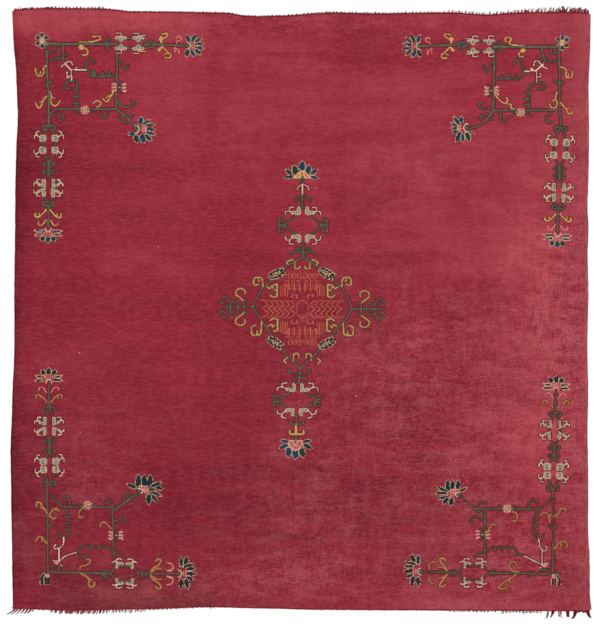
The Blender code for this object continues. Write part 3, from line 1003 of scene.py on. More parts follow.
def upright_spray(cartoon, spray):
    """The spray that stands along the rug's side. Its pen starts at the flower and
    looks back along the stem."""
    pen = Pen(cartoon, spray.x, spray.y, spray.along, spray.aside, spray.weight)
    at = spray.stem
    pen.line("stem", 3.2, (4, 0), (at.near_bar, 0))
    pen.line("leaf", 4.0, (at.bar_in - 7, 0), (at.bar_out + 7, 0))
    legs(pen, at.near_bar + 2, at.comma_in - 5, 6)
    legs(pen, at.bar_in - 6, at.comma_out + 5, 7)
    legs(pen, at.bar_out + 6, at.ball_in - 5, 7)
    legs(pen, at.far_bar - 1, at.ball_out + 5, 8)
    for hand in pen.mirrored():
        cloud_comma(hand.moved(at.comma_in, 8.0), -1)
        cloud_comma(hand.moved(at.comma_out, 8.2), 1)
        cloud_ball(hand.moved(at.ball_in, 9.4), -1)
        cloud_ball(hand.moved(at.ball_out, 9.2), 1)
    for near, far, spread in ((at.comma_in, at.comma_out, 8), (at.ball_in, at.ball_out, 9.2)):
        for hand in pen.mirrored():
            hand.line("leaf", 2.6, (near + 5, spread), (far - 5, spread))
    curled_bar(pen.moved(at.near_bar, 0), 8.5, 4.5, 3.0)
    curled_bar(pen.moved(at.bar_in, 0, 180), 8.0, 4.0, 2.6)
    curled_bar(pen.moved(at.bar_out, 0), 8.0, 4.0, 2.6)
    curled_bar(pen.moved(at.far_bar, 0, 180), 8.5, 5.0, 3.0)
    small_pair(pen.moved(at.small_hooks, 0, 180), spray.small_yarn)
    gold_pair(pen.moved(at.gold_hooks, 0, 180))
    flat_lotus(pen.moved(0, 0, 180))


def level_spray(pen, bar, clouds, bud, flower):
    """The spray along a top edge: a bar, four cloud bands round a small field, a
    bud, two pairs of hooks and the flower. Places are counted along the stem."""
    first, second = clouds
    end = (flower[0] - 9, flower[1])
    pen.line("stem", 4.2, (0, 0), (first - 8, 0.5))
    pen.line("stem", 3.4, (bud[0] - 9, bud[1] * 0.6), (bud[0] + 8, bud[1]), end)
    for hand, out in ((pen, -8), (pen.moved(0, 0, flip=-1), -7)):
        hand.line("stem", 2.4, (first, out), (second, out))
        hand.line("stem", 2.4, (first - 8, -1), (first - 5, out + 3))
        hand.line("stem", 2.4, (second + 8, out + 3), (bud[0] - 8, -1))
        for place in (first, second):
            level_cloud(hand.moved(place, out), place == second)
    cross(pen.moved(bar, 0), 7.5)
    ring_bud(pen.moved(*bud), 5.8)
    upper, lower = pen.moved(bud[0] + 14, bud[1]), pen.moved(bud[0] + 14, bud[1], flip=-1)
    upper.line("gold", 3.0, (1.6, -3), (1, -7))
    upper.spot("gold", 1, -8.6, 3.2, 3.4)
    upper.curve("gold", 2.2, (3, -8.6), (8, -11), (11.4, -15.4), (7, -16.6), (2.4, -15.2))
    lower.line("gold", 3.2, (2.4, -3.6), (0, -6.4))
    lower.line("gold", 5.0, (0, -6.4), (-1.8, -8.2))
    lower.curve("gold", 2.2, (3.6, -3.8), (8, -8.4), (12, -12), (15.4, -14.6), (15.4, -18.6),
                (11.6, -20.2), (7, -19.2))
    lower.line("gold", 1.9, (11.6, -12.4), (6, -15))
    far = pen.moved(flower[0] - 22, flower[1] * 0.7)
    far.curve("rose", 1.5, (-2.2, -3), (-1.2, -6), (3.6, -7), (4.4, -12), (-0.6, -12.8), (-2.2, -9.6))
    far.curve("rose", 1.5, (-4.6, 3), (-5.2, 5.6), (-1.6, 6), (1.4, 8), (1.4, 12.4))
    far.spot("rose", -4.4, 9.4, 1.2, 1.2)
    level_lotus(pen.moved(*flower), LEVEL_LOTUS)


def top_left(pen):
    """The top left corner: two stems that cross, and the open frame they carry."""
    pen.line("stem", 3.4, (0, 0), (1.5, 48), (3.5, 80), (3.5, 124))
    level_spray(pen, 91, (112, 138), (157, 1.4), (219.5, 3))
    # The frame's other two sides and its way out to the flower.
    pen.line("stem", 3.2, (106, 12), (105, 98))
    pen.line("stem", 3.0, (14, 98), (104, 98))
    pen.line("stem", 2.2, (14, 98), (5, 105.5))
    pen.line("stem", 3.6, (104, 98), (111, 103), (124, 114))
    pen.line("stem", 2.6, (122, 112), (136, 127))
    pen.curve("stem", 2.4, (116, 109), (122, 107), (129, 109))
    pen.curve("stem", 2.2, (108, 108), (112, 116), (122, 118.5), (124, 113))
    pen.curve("stem", 2.6, (107, 86), (112.5, 94.5), (121, 95), (130, 93.5), (132.5, 88.5), (127, 86))
    pen.curve("leaf", 2.4, (107.5, 25), (112, 27.5), (115, 36), (119.5, 39), (122.5, 36), (122.5, 31.5))
    # Inside: the little box, the drop with its branch, and the ivory fork.
    pen.line("leaf", 2.4, (14, 2), (13.6, 12.6), (2, 12.8))
    pen.line("stem", 3.0, (24.5, 2), (25, 25), (27.5, 29.5))
    pen.line("leaf", 2.4, (25, 16), (32, 17.5))
    pen.curve("leaf", 2.2, (4, 28), (8, 23), (15, 21), (24, 21.5))
    pen.line("leaf", 2.2, (16, 21), (16.6, 28))
    pen.curve("ivory", 2.2, (22, 35), (25, 32), (31, 27.4), (36, 26.4), (39.5, 31))
    pen.line("ivory", 3.0, (29, 31), (36.5, 38))
    pen.line("ivory", 2.4, (36, 38.4), (60, 39.3))
    pen.line("ivory", 2.4, (44, 39), (45.5, 35.5))
    pen.line("ivory", 2.4, (37.2, 39), (38, 54))
    pen.curve("ivory", 2.2, (31, 42), (32, 49.5), (37, 47))
    pen.line("ivory", 2.0, (31, 49.5), (34, 52))
    # The green stair to the right and the one going down.
    pen.curve("leaf", 2.6, (72, 29), (71, 25), (66, 23), (61, 26), (60, 32), (60, 37), (64, 42), (69, 48))
    toothed(pen, (69, 49), (100, 49), (0.12, 0.5, 0.82), -7)
    pen.spot("leaf", 70, 43, 2.4, 3.6)
    pen.curve("leaf", 2.4, (35.5, 66), (30, 67), (28.5, 61), (31, 56.6), (37, 56))
    pen.line("leaf", 2.6, (37, 56), (45.5, 56.5))
    toothed(pen, (46, 56), (46.5, 93), (0.32, 0.62, 0.9), 7)
    pen.line("leaf", 2.4, (46, 90), (42.5, 97))
    # Flowers and hooks on the frame.
    side_rosette(pen.moved(107, 66))
    pen.curve("gold", 2.4, (100.5, 73), (95, 82), (90.5, 87), (85, 82.5))
    pen.curve("gold", 1.8, (98, 78), (93, 78.5), (90, 81.5))
    pen.curve("gold", 2.2, (69.5, 89.5), (75.5, 85.6), (81.5, 88), (80.5, 92.4), (75.5, 95))
    rosette(pen.moved(58, 99.4))
    pen.line("leaf", 2.2, (50, 100.5), (45.5, 103.5))
    pen.line("leaf", 2.2, (66, 100.5), (72, 103.5))
    pen.curve("stem", 2.6, (92.5, 99), (92, 108), (87, 110.5), (81.5, 108.5), (81, 103.5))
    pen.curve("stem", 2.4, (4, 106.4), (12, 106.4), (22.5, 106.6), (26, 111), (22.5, 116), (18, 114))
    # Hooks on the two long stems.
    pen.curve("gold", 2.4, (50, -2.6), (66, -2.8), (74, -4.6), (81, -7), (80, -11.4), (70, -11))
    pen.spot("gold", 52.4, 5.6, 4.0, 3.6)
    pen.curve("gold", 2.2, (54, 6), (60, 8), (62.4, 13), (59, 17), (53.5, 16.4))
    pen.curve("straw", 2.2, (-1, 33), (-4, 37), (-3.6, 42), (-6, 47.4), (-12, 48), (-15.4, 43),
              (-16.4, 37))
    pen.line("straw", 2.0, (-9.4, 47), (-8.6, 41.5))
    pen.curve("gold", 2.6, (0, 79), (-5, 85), (-7, 91), (-9.6, 95.6), (-13.4, 94.6), (-16, 89.6))
    pen.line("gold", 2.0, (-6, 90), (-10, 86))
    pen.curve("gold", 2.2, (5.6, 72), (7.6, 80), (6.4, 86), (9.6, 92), (15.5, 92.4), (20.5, 86))
    pen.line("gold", 1.9, (7, 79.6), (12.6, 81.6))
    pen.line("leaf", 3.2, (-3, 61), (1, 61.5))
    pen.line("leaf", 3.2, (3, 58.6), (8.6, 57))
    lotus(pen.moved(144, 128), LEFT_LOTUS)
    corner_rosette(pen.moved(-6.5, -4.2))


def top_right(pen):
    """The top right corner: the same motifs again, each a little different."""
    pen.line("stem", 3.2, (-1, 4), (-2, 50), (-2.2, 95), (-3.4, 118))
    level_spray(pen, 87, (104, 128), (145.5, -2.4), (216.6, -1))
    pen.line("stem", 3.2, (96, 6), (97.6, 95))
    pen.line("stem", 3.0, (6, 95), (97, 95.4))
    pen.line("stem", 3.6, (97, 96), (111.5, 113))
    pen.line("stem", 2.8, (111.5, 113), (121, 119.6), (133, 122.6))
    pen.curve("stem", 2.4, (103, 103), (109, 101), (116, 104.5), (117, 109))
    pen.curve("stem", 2.2, (107, 109), (100.5, 109), (98.5, 105))
    pen.curve("leaf", 2.4, (97, 22), (100.5, 24), (102.5, 32), (107, 36.5), (111, 34), (111, 29))
    pen.line("leaf", 2.4, (11, 1), (11, 9.6), (0, 9.6))
    pen.line("stem", 3.0, (25.6, 1), (23, 13), (20, 19), (22.6, 26))
    pen.curve("leaf", 2.2, (28.5, 20), (24, 17.6), (20, 19))
    pen.curve("leaf", 2.2, (3, 21), (9, 22.6), (13.6, 22.6), (17.6, 17))
    pen.curve("ivory", 2.2, (37, 27.6), (36, 22.6), (32, 21), (27, 25), (25.6, 28.5))
    pen.line("ivory", 3.0, (23, 26), (33.5, 36.4))
    pen.line("ivory", 2.4, (17, 32.5), (24, 29.6))
    pen.line("ivory", 2.4, (33.5, 35.4), (52, 37))
    pen.spot("ivory", 39.6, 33.6, 2.2, 2.0)
    pen.line("ivory", 2.4, (32.7, 36.5), (32.7, 53))
    pen.curve("ivory", 2.2, (27, 39.6), (26.6, 44.6), (32, 45))
    pen.curve("leaf", 2.6, (66, 27), (64.6, 21), (59.5, 18), (55, 22), (53.5, 28), (52, 37), (53, 43),
              (59, 48))
    toothed(pen, (60, 48), (92, 48.6), (0.1, 0.45, 0.78), -6)
    pen.curve("leaf", 2.4, (31, 63), (24, 64), (19.6, 61), (22, 56), (30, 54.6), (37, 56.4), (41, 59))
    toothed(pen, (43, 59), (44, 92), (0.3, 0.58, 0.85), -7)
    pen.line("leaf", 2.4, (44, 90), (41, 95))
    side_rosette(pen.moved(98, 66))
    pen.curve("gold", 2.4, (94.6, 72.6), (88, 80), (81, 85), (76, 81), (77.5, 76.6))
    pen.curve("gold", 2.2, (76, 85.6), (71, 86.6), (71.5, 92), (66, 93))
    pen.curve("stem", 2.6, (98, 85), (103.4, 92.4), (112, 92.6), (118, 90), (119, 86.6), (114.6, 83.6))
    rosette(pen.moved(56.4, 98), 22)
    pen.line("leaf", 2.2, (64, 99), (69, 103))
    pen.line("leaf", 2.2, (48, 99), (41, 103.4))
    pen.curve("stem", 2.6, (87, 96), (87, 107), (84, 111.6), (78, 112), (75.5, 107.6))
    pen.curve("stem", 2.4, (10.5, 102.4), (16.6, 104), (18.4, 108.6), (16, 113.6), (10, 113.6))
    pen.curve("gold", 2.4, (52, -2), (66, -2.4), (73, -4), (74, -7), (70.4, -10), (74.4, -14), (80, -12),
              (79, -7.6))
    pen.spot("gold", 53, 5.4, 3.6, 3.0)
    pen.curve("gold", 2.2, (54, 5.6), (59, 9.6), (57.4, 14.6), (52.5, 14.6))
    pen.curve("gold", 2.3, (-3.4, 30.4), (-9, 32.4), (-12.4, 36.6), (-11, 43.5), (-15, 47), (-20, 44.6),
              (-21.8, 37))
    pen.line("gold", 2.0, (-14.6, 46), (-15.6, 41))
    pen.curve("gold", 2.3, (2, 68.6), (4.5, 77), (1.6, 85), (5, 91.6), (11, 91), (13.6, 86))
    pen.line("gold", 2.0, (4, 79), (8.6, 81.6))
    pen.curve("gold", 2.4, (-3.6, 84), (-8, 90), (-11.4, 93.6), (-14.6, 99.6), (-19.5, 100.6),
              (-22.6, 97))
    pen.line("gold", 2.0, (-12, 94), (-16, 91.6))
    pen.line("leaf", 3.2, (-7, 54.6), (-2, 55.6))
    pen.line("leaf", 3.2, (0, 55), (5, 52))
    lotus(pen.moved(146.7, 121), RIGHT_LOTUS)
    corner_rosette(pen.moved(-6, -6.4))


def hexagon(pen, low, high, bottom, top, middle):
    """The small six-sided field on a bottom spray, with clouds at its corners and
    a bud at each end."""
    near, far = low + 8, high - 8
    upper = [(low, middle), (near, top), (far, top), (high, middle)]
    lower = [(far, bottom), (near, bottom), (low, middle)]
    pen.line("stem", 2.6, *upper, *lower)
    for place, height in ((near + 5, top), (far - 5, top), (near + 5, bottom), (far - 5, bottom)):
        up = 1 if height > middle else -1
        at = pen.moved(place, height + up, flip=up)
        out = 1 if place > (low + high) / 2 else -1
        at.curve("ivory", 1.9, (out * 1, 3.4), (out * 4.4, 6.2), (out * 3.6, 9.4), (out * -2, 9.8),
                 (out * -4, 8.2))
        at.line("ivory", 1.7, (out * 3.6, 4.6), (out * 8, 6), (out * 10.6, 4))
        at.curve("cream", 4.4, (out * -4.4, 2.4), (out * -1, 3), (out * 3, 1.6), (out * 3.6, -3.2))
        at.curve("cloud", 2.6, (out * -4, 2.2), (out * -1, 2.8), (out * 2.8, 1.4), (out * 3.4, -2.8))
        dotted(at, "leaf", 1.0, (out * -2.4, 2.4), (out * 1.6, 2.2), (out * 3.4, -0.8))
    for place in (low - 6.4, high + 8):
        for along in (-2.4, 2.4):
            pen.line("leaf", 2.8, (place + along, middle - 4.4), (place + along, middle + 4.4))
        pen.line("leaf", 3.0, (place - 5, middle), (place + 5, middle))


BOTTOM_LOTUS = [
    Petal(-4.2, 18, 92, 11, 4.4), Petal(3, 18.3, 78, 12, 5), Petal(7.4, 12.4, 12, 13, 3.4),
    Petal(10, 7.4, 4, 11, 3.6), Petal(10, 0.2, -6, 13, 4.2), Petal(8.6, -7, -16, 9, 3.8),
    Petal(4.3, -15, -80, 12, 5), Petal(-4.5, -15.5, -92, 12, 4.2),
]


def palmette_foot(pen):
    """The little fan of leaves that closes the foot of a bottom corner's stem."""
    pen.spot("leaf", -2.4, -2.4, 3.4, 3.2)
    for yarn, grown in (("cream", 1.0), ("teal", 0.0)):
        pen.curve(yarn, 4.2 + grown, (-2.6, -4), (-5, -8), (-5.6, -12), (-5.8, -17.6))
        pen.line(yarn, 3.4 + grown, (-0.4, -7.6), (-0.4, -18))
        pen.line(yarn, 4.0 + grown, (4.6, -9), (4.6, -17.4))
    pen.spot("cream", 2.9, -5.4, 3.4, 3.2)
    pen.spot("rose", 2.9, -5.4, 2.8, 2.6)


def bottom_left(pen):
    """The bottom left corner and its frame, which opens towards the middle."""
    pen.line("stem", 3.2, (-1, 0), (-1.6, 40), (-1.8, 90), (-2.6, 138))
    pen.line("stem", 3.4, (0, 0), (60, -1.6), (88, -2.6))
    pen.line("stem", 3.2, (150, -3), (196, -2.6))
    pen.line("stem", 2.8, (1.8, 115.5), (20.7, 97.4))
    pen.line("stem", 3.0, (20.7, 97.4), (96.5, 97.4))
    pen.line("stem", 3.2, (95.6, 97), (97.4, 21))
    pen.line("stem", 4.0, (98, 92), (126, 113.6))
    pen.line("stem", 2.4, (124, 112), (136, 121))
    pen.curve("stem", 2.2, (113, 106), (113, 114), (119, 119), (124, 116))
    pen.curve("stem", 2.2, (121, 108), (129, 108.6), (135, 113), (134, 118))
    pen.curve("stem", 2.4, (31, 98), (31.4, 109), (27, 113.4), (22.6, 112), (23.4, 107.6))
    pen.curve("stem", 2.4, (95.5, 98), (94.6, 105.6), (90, 108.8), (85.6, 107), (86.6, 102.6))
    rosette(pen.moved(58.5, 99.6))
    pen.line("leaf", 2.2, (50.5, 98), (46, 101.6))
    pen.line("leaf", 2.2, (66.5, 98), (71, 101.6))
    pen.curve("leaf", 2.4, (98, 76.4), (103, 76.6), (108, 80.4), (114.6, 80), (118, 76), (116.6, 72))
    pen.hook(2.3, (94.6, 63.6), (89, 68.6), (84.5, 73.6), (78, 73), (77, 67.6))
    side_rosette(pen.moved(98.5, 54.6))
    pen.hook(2.3, (52.5, 96), (46.4, 91), (44.6, 85), (46.6, 80.4), (51.4, 82.6))
    pen.line("leaf", 2.6, (24, 96), (30, 88))
    toothed(pen, (30, 88), (30, 57), (0.18, 0.5, 0.8), -7)
    pen.curve("leaf", 2.4, (30, 58), (28, 52.6), (22.6, 51.6), (17, 54.4), (17, 60))
    pen.curve("ivory", 2.0, (22.5, 52), (22, 42), (17, 36.6), (10, 34.6))
    pen.line("ivory", 2.0, (15.5, 36), (15.5, 16))
    pen.curve("ivory", 1.8, (10, 34), (8, 38), (11, 41))
    pen.spot("cream", 12, 14.4, 3.8, 2.8)
    dotted(pen, "leaf", 1.0, (10.6, 14), (13.4, 15))
    pen.line("ivory", 1.8, (6, 17.6), (10, 15.6))
    pen.line("ivory", 1.8, (17.6, 11), (20, 9))
    pen.curve("ivory", 2.0, (15.5, 16), (26, 24), (42, 29))
    pen.curve("leaf", 2.4, (42, 29), (46, 24), (51, 22), (56, 23), (58.5, 26))
    pen.curve("leaf", 2.6, (44, 30), (48, 35), (55, 38))
    toothed(pen, (55, 38), (85, 38), (0.3, 0.68), -5.5)
    pen.line("leaf", 2.6, (85, 38), (95, 31))
    pen.line("leaf", 2.4, (2, 8), (17, 7.6))
    pen.line("leaf", 2.4, (15.5, 7), (15.5, 1))
    pen.line("leaf", 2.2, (30, -2), (30, -6.6))
    pen.hook(2.2, (46, 3), (48, 8), (54, 9), (60, 12), (62, 17), (57, 18.6))
    pen.hook(3.0, (48, -3), (55, -7), (60.4, -12), (59.4, -19), (62.5, -23), (67.6, -21.4), (68, -16))
    pen.line("gold", 2.2, (60, -12), (65, -12.6))
    pen.hook(3.0, (-3, 88), (-6, 93), (-10, 97), (-13, 103), (-17.6, 103.6), (-19, 98))
    pen.line("gold", 2.2, (-9, 97), (-13.4, 95.6))
    pen.hook(2.8, (1, 84), (4, 91), (9.6, 94), (15, 91.6))
    pen.curve("gold", 2.2, (2, 82.6), (7, 79.6), (10.6, 81.6))
    pen.hook(2.8, (-3, 43), (-7, 47), (-11, 52), (-16, 51.6), (-20, 45.6))
    pen.line("gold", 2.2, (-10, 51), (-9.6, 46))
    pen.line("leaf", 3.4, (-6.4, 75.6), (-2.6, 75))
    pen.line("leaf", 3.4, (-0.6, 68.6), (4.6, 68))
    cross(pen.moved(83, -3), 6.5)
    hexagon(pen, 93, 135, -13.6, 8.6, -2.8)
    pen.curve("leaf", 2.2, (98.5, 27), (104, 29.6), (110, 27), (112.6, 23))
    for hand in pen.moved(155, -2.8).mirrored():
        hand.hook(3.0, (-2, 2), (1, 8), (6, 10.6), (11, 15), (13, 20), (9, 22), (5, 19))
        hand.curve("gold", 2.4, (-1, 3), (4, 6.4), (9, 8.6), (14, 7.4))
        hand.curve("rose", 2.0, (22, 4), (29, 5), (32, 9.6), (29, 15), (22, 17))
        hand.line("cream", 1.1, (24, 4.6), (29.6, 6.6))
    level_lotus(pen.moved(203, -2.6), BOTTOM_LOTUS, 1.18)
    wide_lotus(pen.moved(144, 124), WIDE_LEFT)
    palmette_foot(pen.moved(-5, 0))


def bottom_right(pen):
    """The bottom right corner: the left one's motifs again, each a little different."""
    pen.line("stem", 3.2, (0, 0), (-0.6, 60), (-0.6, 110), (-0.2, 126))
    pen.line("stem", 3.4, (1, -1), (23, 0.4), (95, 1.2))
    pen.line("stem", 3.2, (146, 1), (199, 2.6))
    pen.line("stem", 2.8, (2.7, 113), (17.6, 96.8))
    pen.line("stem", 3.0, (18, 96.8), (117, 96.8))
    pen.line("stem", 3.2, (101.7, 96), (101.6, 24))
    pen.line("stem", 4.0, (105, 88.6), (119, 97.6), (128, 105.6))
    pen.line("stem", 2.6, (126, 104), (143, 118.4))
    pen.curve("stem", 2.2, (112, 97), (112, 104.6), (106, 106.6), (100, 105))
    pen.curve("stem", 2.4, (35.6, 98), (36.4, 106), (31, 110.4), (25.4, 108.8), (24.6, 104.6))
    rosette(pen.moved(68.6, 97.4), 22)
    pen.line("leaf", 2.2, (60, 98), (56, 101.6))
    pen.line("leaf", 2.2, (77, 98), (81, 101.6))
    pen.curve("leaf", 2.4, (102.6, 80), (108, 81), (114, 84.8), (121, 83.6), (123, 79), (119.6, 76))
    side_rosette(pen.moved(102.6, 58.5))
    pen.hook(2.3, (97, 63.6), (94, 69), (90, 73.6), (84.6, 72))
    pen.hook(2.3, (61, 92.6), (55, 90.6), (52.6, 84.6), (55.4, 79), (61, 78.6))
    pen.line("leaf", 2.6, (21, 95), (28, 84))
    toothed(pen, (28.2, 84), (28.2, 58), (0.12, 0.48, 0.85), -7)
    pen.curve("leaf", 2.4, (28, 59), (26, 53.6), (21, 51.6), (16, 53.6), (14.6, 58))
    pen.curve("ivory", 2.0, (21, 52), (20, 42), (16.4, 35.6), (11.4, 34))
    pen.line("ivory", 2.0, (16.4, 36), (16.6, 12))
    pen.curve("ivory", 1.8, (11.4, 34), (8.6, 38), (11, 41.6))
    pen.spot("cream", 12, 13, 3.8, 2.8)
    dotted(pen, "leaf", 1.1, (10.6, 12.6), (13.4, 13.6))
    pen.line("ivory", 2.0, (6, 16.6), (10, 14.6))
    pen.line("ivory", 2.0, (17.6, 10), (20.6, 8))
    pen.curve("ivory", 2.0, (17, 14), (33, 21.6), (44, 27))
    pen.curve("leaf", 2.4, (42, 27), (47, 28.6), (52, 29.6), (56, 27.6))
    pen.curve("leaf", 2.6, (53, 28), (54, 34), (58, 39))
    toothed(pen, (58, 39), (91, 39.4), (0.22, 0.55, 0.88), -6)
    pen.line("leaf", 2.6, (91, 39.4), (99, 32))
    pen.line("leaf", 2.4, (1, 6), (19, 5.8))
    pen.line("leaf", 2.2, (35, 0), (35, -4.6))
    pen.hook(2.4, (51, 2.6), (60, 4), (65.4, 10), (63, 17), (57, 17.4), (54, 13))
    pen.hook(2.4, (55, -2), (66, -9), (76, -15.6), (81, -21), (75, -23.4), (68, -20.6))
    pen.hook(2.2, (4.4, 76), (5.4, 84.6), (9, 90.4), (15, 90.4), (17.6, 86.4))
    pen.hook(2.4, (-1, 85), (-6, 87.6), (-9.4, 90), (-11.7, 95.8), (-17, 97.6), (-20.4, 93))
    pen.line("gold", 2.2, (-4.6, 89), (-8, 84.4))
    pen.line("gold", 2.2, (5.6, 84), (2.6, 89.6))
    pen.line("gold", 2.4, (66, -8), (63, -14))
    pen.hook(2.4, (-3, 37), (-7, 43), (-12, 48), (-18, 48), (-22, 42.6), (-20, 39))
    pen.line("gold", 1.6, (-12, 46), (-12.6, 41))
    pen.line("leaf", 3.4, (6.4, 70.6), (2.4, 71))
    pen.line("leaf", 3.4, (-0.6, 69), (-6.4, 70))
    hexagon(pen, 97, 142, -9.4, 11.4, 0.8)
    pen.curve("leaf", 2.2, (103, 30), (108, 31.6), (114, 29.4), (117, 25))
    for hand in pen.moved(160, 1.4).mirrored():
        hand.hook(3.2, (-2, 3), (3, 9), (7, 14), (9, 19), (5, 21), (1, 17.6))
        hand.curve("gold", 2.6, (0, 3), (5, 7), (11, 8))
        hand.curve("amber", 2.4, (17, 16), (22, 16), (26, 11), (24, 5))
    level_lotus(pen.moved(206.3, 3.4), BOTTOM_LOTUS, 1.15)
    wide_lotus(pen.moved(148.5, 120.6), WIDE_RIGHT)
    palmette_foot(pen.moved(-4, 1))


def scroll(hand, place, way, fork, reach):
    """One of the four clouds of a centre spray: a bent body, and an arm that forks
    into one end curled back and one turned out."""
    body = ((place + way * 7.4, 6), (place - way * 0.4, 6), (place + way * 0.6, 15.6))
    hand.line("cream", 5.4, *body)
    hand.line("cloud", 3.4, *body)
    dots = ((6.4, 6), (2.6, 6.4), (-0.2, 9), (0.6, 13.4))
    dotted(hand, "leaf", 1.0, *[(place + way * along, aside) for along, aside in dots])
    tip = (place + way * fork, 21 * reach)
    hand.curve("ivory", 1.9, (place + way * 1.2, 16.8), tip, (place + way * (fork + 4.6), 21.4 * reach),
               (place + way * (fork + 6), 15.4 * reach))
    hand.curve("ivory", 1.9, tip, (place + way * (fork - 1), 27 * reach),
               (place + way * (fork - 6), 28.4 * reach))


def centre_top(pen):
    """The spray above the medallion. The pen stands on its tip and looks up."""
    pen.line("leaf", 3.2, (0, -1), (18.6, 0.3))
    pen.line("leaf", 3.0, (75.5, 0.6), (94, 0.6))
    pen.line("leaf", 3.0, (109, 0.6), (119, 0.8))
    for hand in pen.mirrored():
        # A barbed cross below the open frame.
        hand.curve("leaf", 2.6, (7, 3), (8, 10), (6.6, 16), (3, 18))
        hand.curve("leaf", 2.6, (11.6, 0), (11.6, 8.4), (15, 9.4))
        hand.line("leaf", 2.0, (22.6, 4.6), (18.6, 0.6))
        # The frame, and the bar with two curled ends on each side of it.
        hand.line("leaf", 2.4, (34.6, 11.8), (45.6, 27))
        hand.line("leaf", 2.4, (49.4, 27), (62.6, 10.6))
        hand.line("leaf", 2.8, (38.4, 35.6), (56, 35.6))
        hand.line("leaf", 4.4, (47.4, 26), (47.4, 35))
        hand.curve("leaf", 2.4, (56, 35.4), (57.4, 32), (55.4, 29), (52.6, 29.8))
        hand.curve("leaf", 2.4, (39, 35.6), (38.2, 31), (40, 27.6))
        scroll(hand, 31, -1, 6, 0.93)
        scroll(hand, 66, 1, 3, 0.95)
        # The arrow-like leaves on the stem, green and then ivory.
        hand.line("leaf", 2.2, (72, 4), (77, 1))
        hand.curve("leaf", 2.4, (93.4, 0.5), (90, 5.6), (87.4, 9.4), (83, 10))
        hand.curve("ivory", 2.0, (109.2, 0.5), (106.8, 5.2), (103.4, 8.4), (100.6, 8.6))
    pen.line("ivory", 2.8, (94.6, 0.6), (109, 0.6))
    petals(pen, [
        Petal(137, 1.2, 0, 12.6, 8.4), Petal(131, 12, 12, 12.6, 8), Petal(131, -8, -10, 13, 7.4),
        Petal(127.8, 21.6, 55, 10, 5.4), Petal(128, -16.4, -55, 10, 5.4),
        Petal(120, 21.4, 98, 12, 4.2), Petal(119.6, -16.6, -100, 12, 4.2),
    ])
    pen.patch("cream", (117.8, 14), (122, 12.8), (130, 3.4), (130, -1), (122, -10.4), (117.8, -12.4))
    pen.patch("gold", (119, 12.4), (121.6, 11.6), (128.6, 2.6), (128.6, -0.2), (121.6, -9.2),
              (119, -10.4))
    dotted(pen, "coral", 1.5, (121, 9), (123.6, 6), (126.4, 1.2), (123.6, -3.6), (121, -6.6), (123.4, 1.2))
    pen.spot("leaf", 119.8, 0.8, 2.2, 2.4)


def centre_bottom(pen):
    """The spray below the medallion. The pen stands on its tip and looks down."""
    pen.line("stem", 3.2, (-1, 0), (21.6, -1.6))
    for hand in pen.moved(0, -0.8).mirrored():
        hand.curve("stem", 2.4, (6.8, 0), (6.8, 10), (5.6, 15), (2, 15.6), (0.6, 12))
        hand.curve("stem", 2.2, (13.4, 0), (13, 5.6), (15, 9.4), (17.4, 8.6))
        hand.line("stem", 1.8, (21, 1), (21.6, 4.4))
    low = pen.moved(0, -3.4)
    for hand in low.mirrored():
        scroll(hand, 31.6, -1, 4.4, 1.08)
        hand.line("stem", 2.4, (35, 11.4), (44.6, 25.4))
    base = pen.moved(0, -4.8)
    for hand in base.mirrored():
        hand.line("stem", 2.4, (50.6, 24.8), (58.6, 15.4))
        hand.curve("stem", 2.4, (46.6, 26), (46.4, 31.6), (44.4, 34.6), (41, 34), (40.4, 26.4))
        hand.line("stem", 2.4, (49.4, 27), (49, 34.6), (56, 34.6), (56, 27.6), (49.4, 27))
        scroll(hand, 61.8, 1, 6, 1.04)
        hand.line("stem", 2.2, (69, 4), (72.6, 1))
        hand.curve("stem", 2.8, (83.4, 0), (83, 7), (81.4, 10), (78.4, 9.2))
        hand.curve("gold", 2.6, (98.4, 0), (98.6, 7), (97, 10.4), (93, 10.4))
    base.line("stem", 3.0, (72, -0.6), (86, -0.8))
    base.line("gold", 3.4, (86, -1), (98, -1))
    base.line("stem", 3.6, (100, -1.2), (113, -1.6))
    heart = base.moved(115, -1.8)
    petals(heart, [
        Petal(-6.4, -16.4, -100, 12, 4.2), Petal(-6.2, 17, 102, 12, 4.2), Petal(1.6, -18, -68, 13, 5.4),
        Petal(1.6, 18.4, 66, 13, 5.4), Petal(10.6, -10.4, -10, 14, 8), Petal(10.8, 9.8, 11, 14, 7.6),
        Petal(13.6, -0.2, 0, 13, 8.4),
    ])
    for yarn, grown in (("cream", 1.0), ("rose", 0.0)):
        heart.patch(yarn, (-7 - grown, -9 - grown), (-7 - grown, 9 + grown), (-1, 10 + grown),
                    (4.4 + grown, 6.4 + grown), (8 + grown, 0), (4.4 + grown, -6.4 - grown),
                    (-1, -10 - grown))
    for aside in (-8, -5.4, 5.4, 8):
        heart.line("plain", 1.2, (-5.4, aside), (0.6, aside * 0.9))
    for aside in (-3.4, 0, 3.4):
        heart.line("plain", 1.2, (2.2, aside), (5.4 - abs(aside) * 0.4, aside * 0.8))
    heart.line("stem", 3.8, (-12, 0), (-2.6, 0))
    heart.curve("gold", 1.8, (-2.4, -3.4), (-0.6, 0), (-2.4, 3.4))


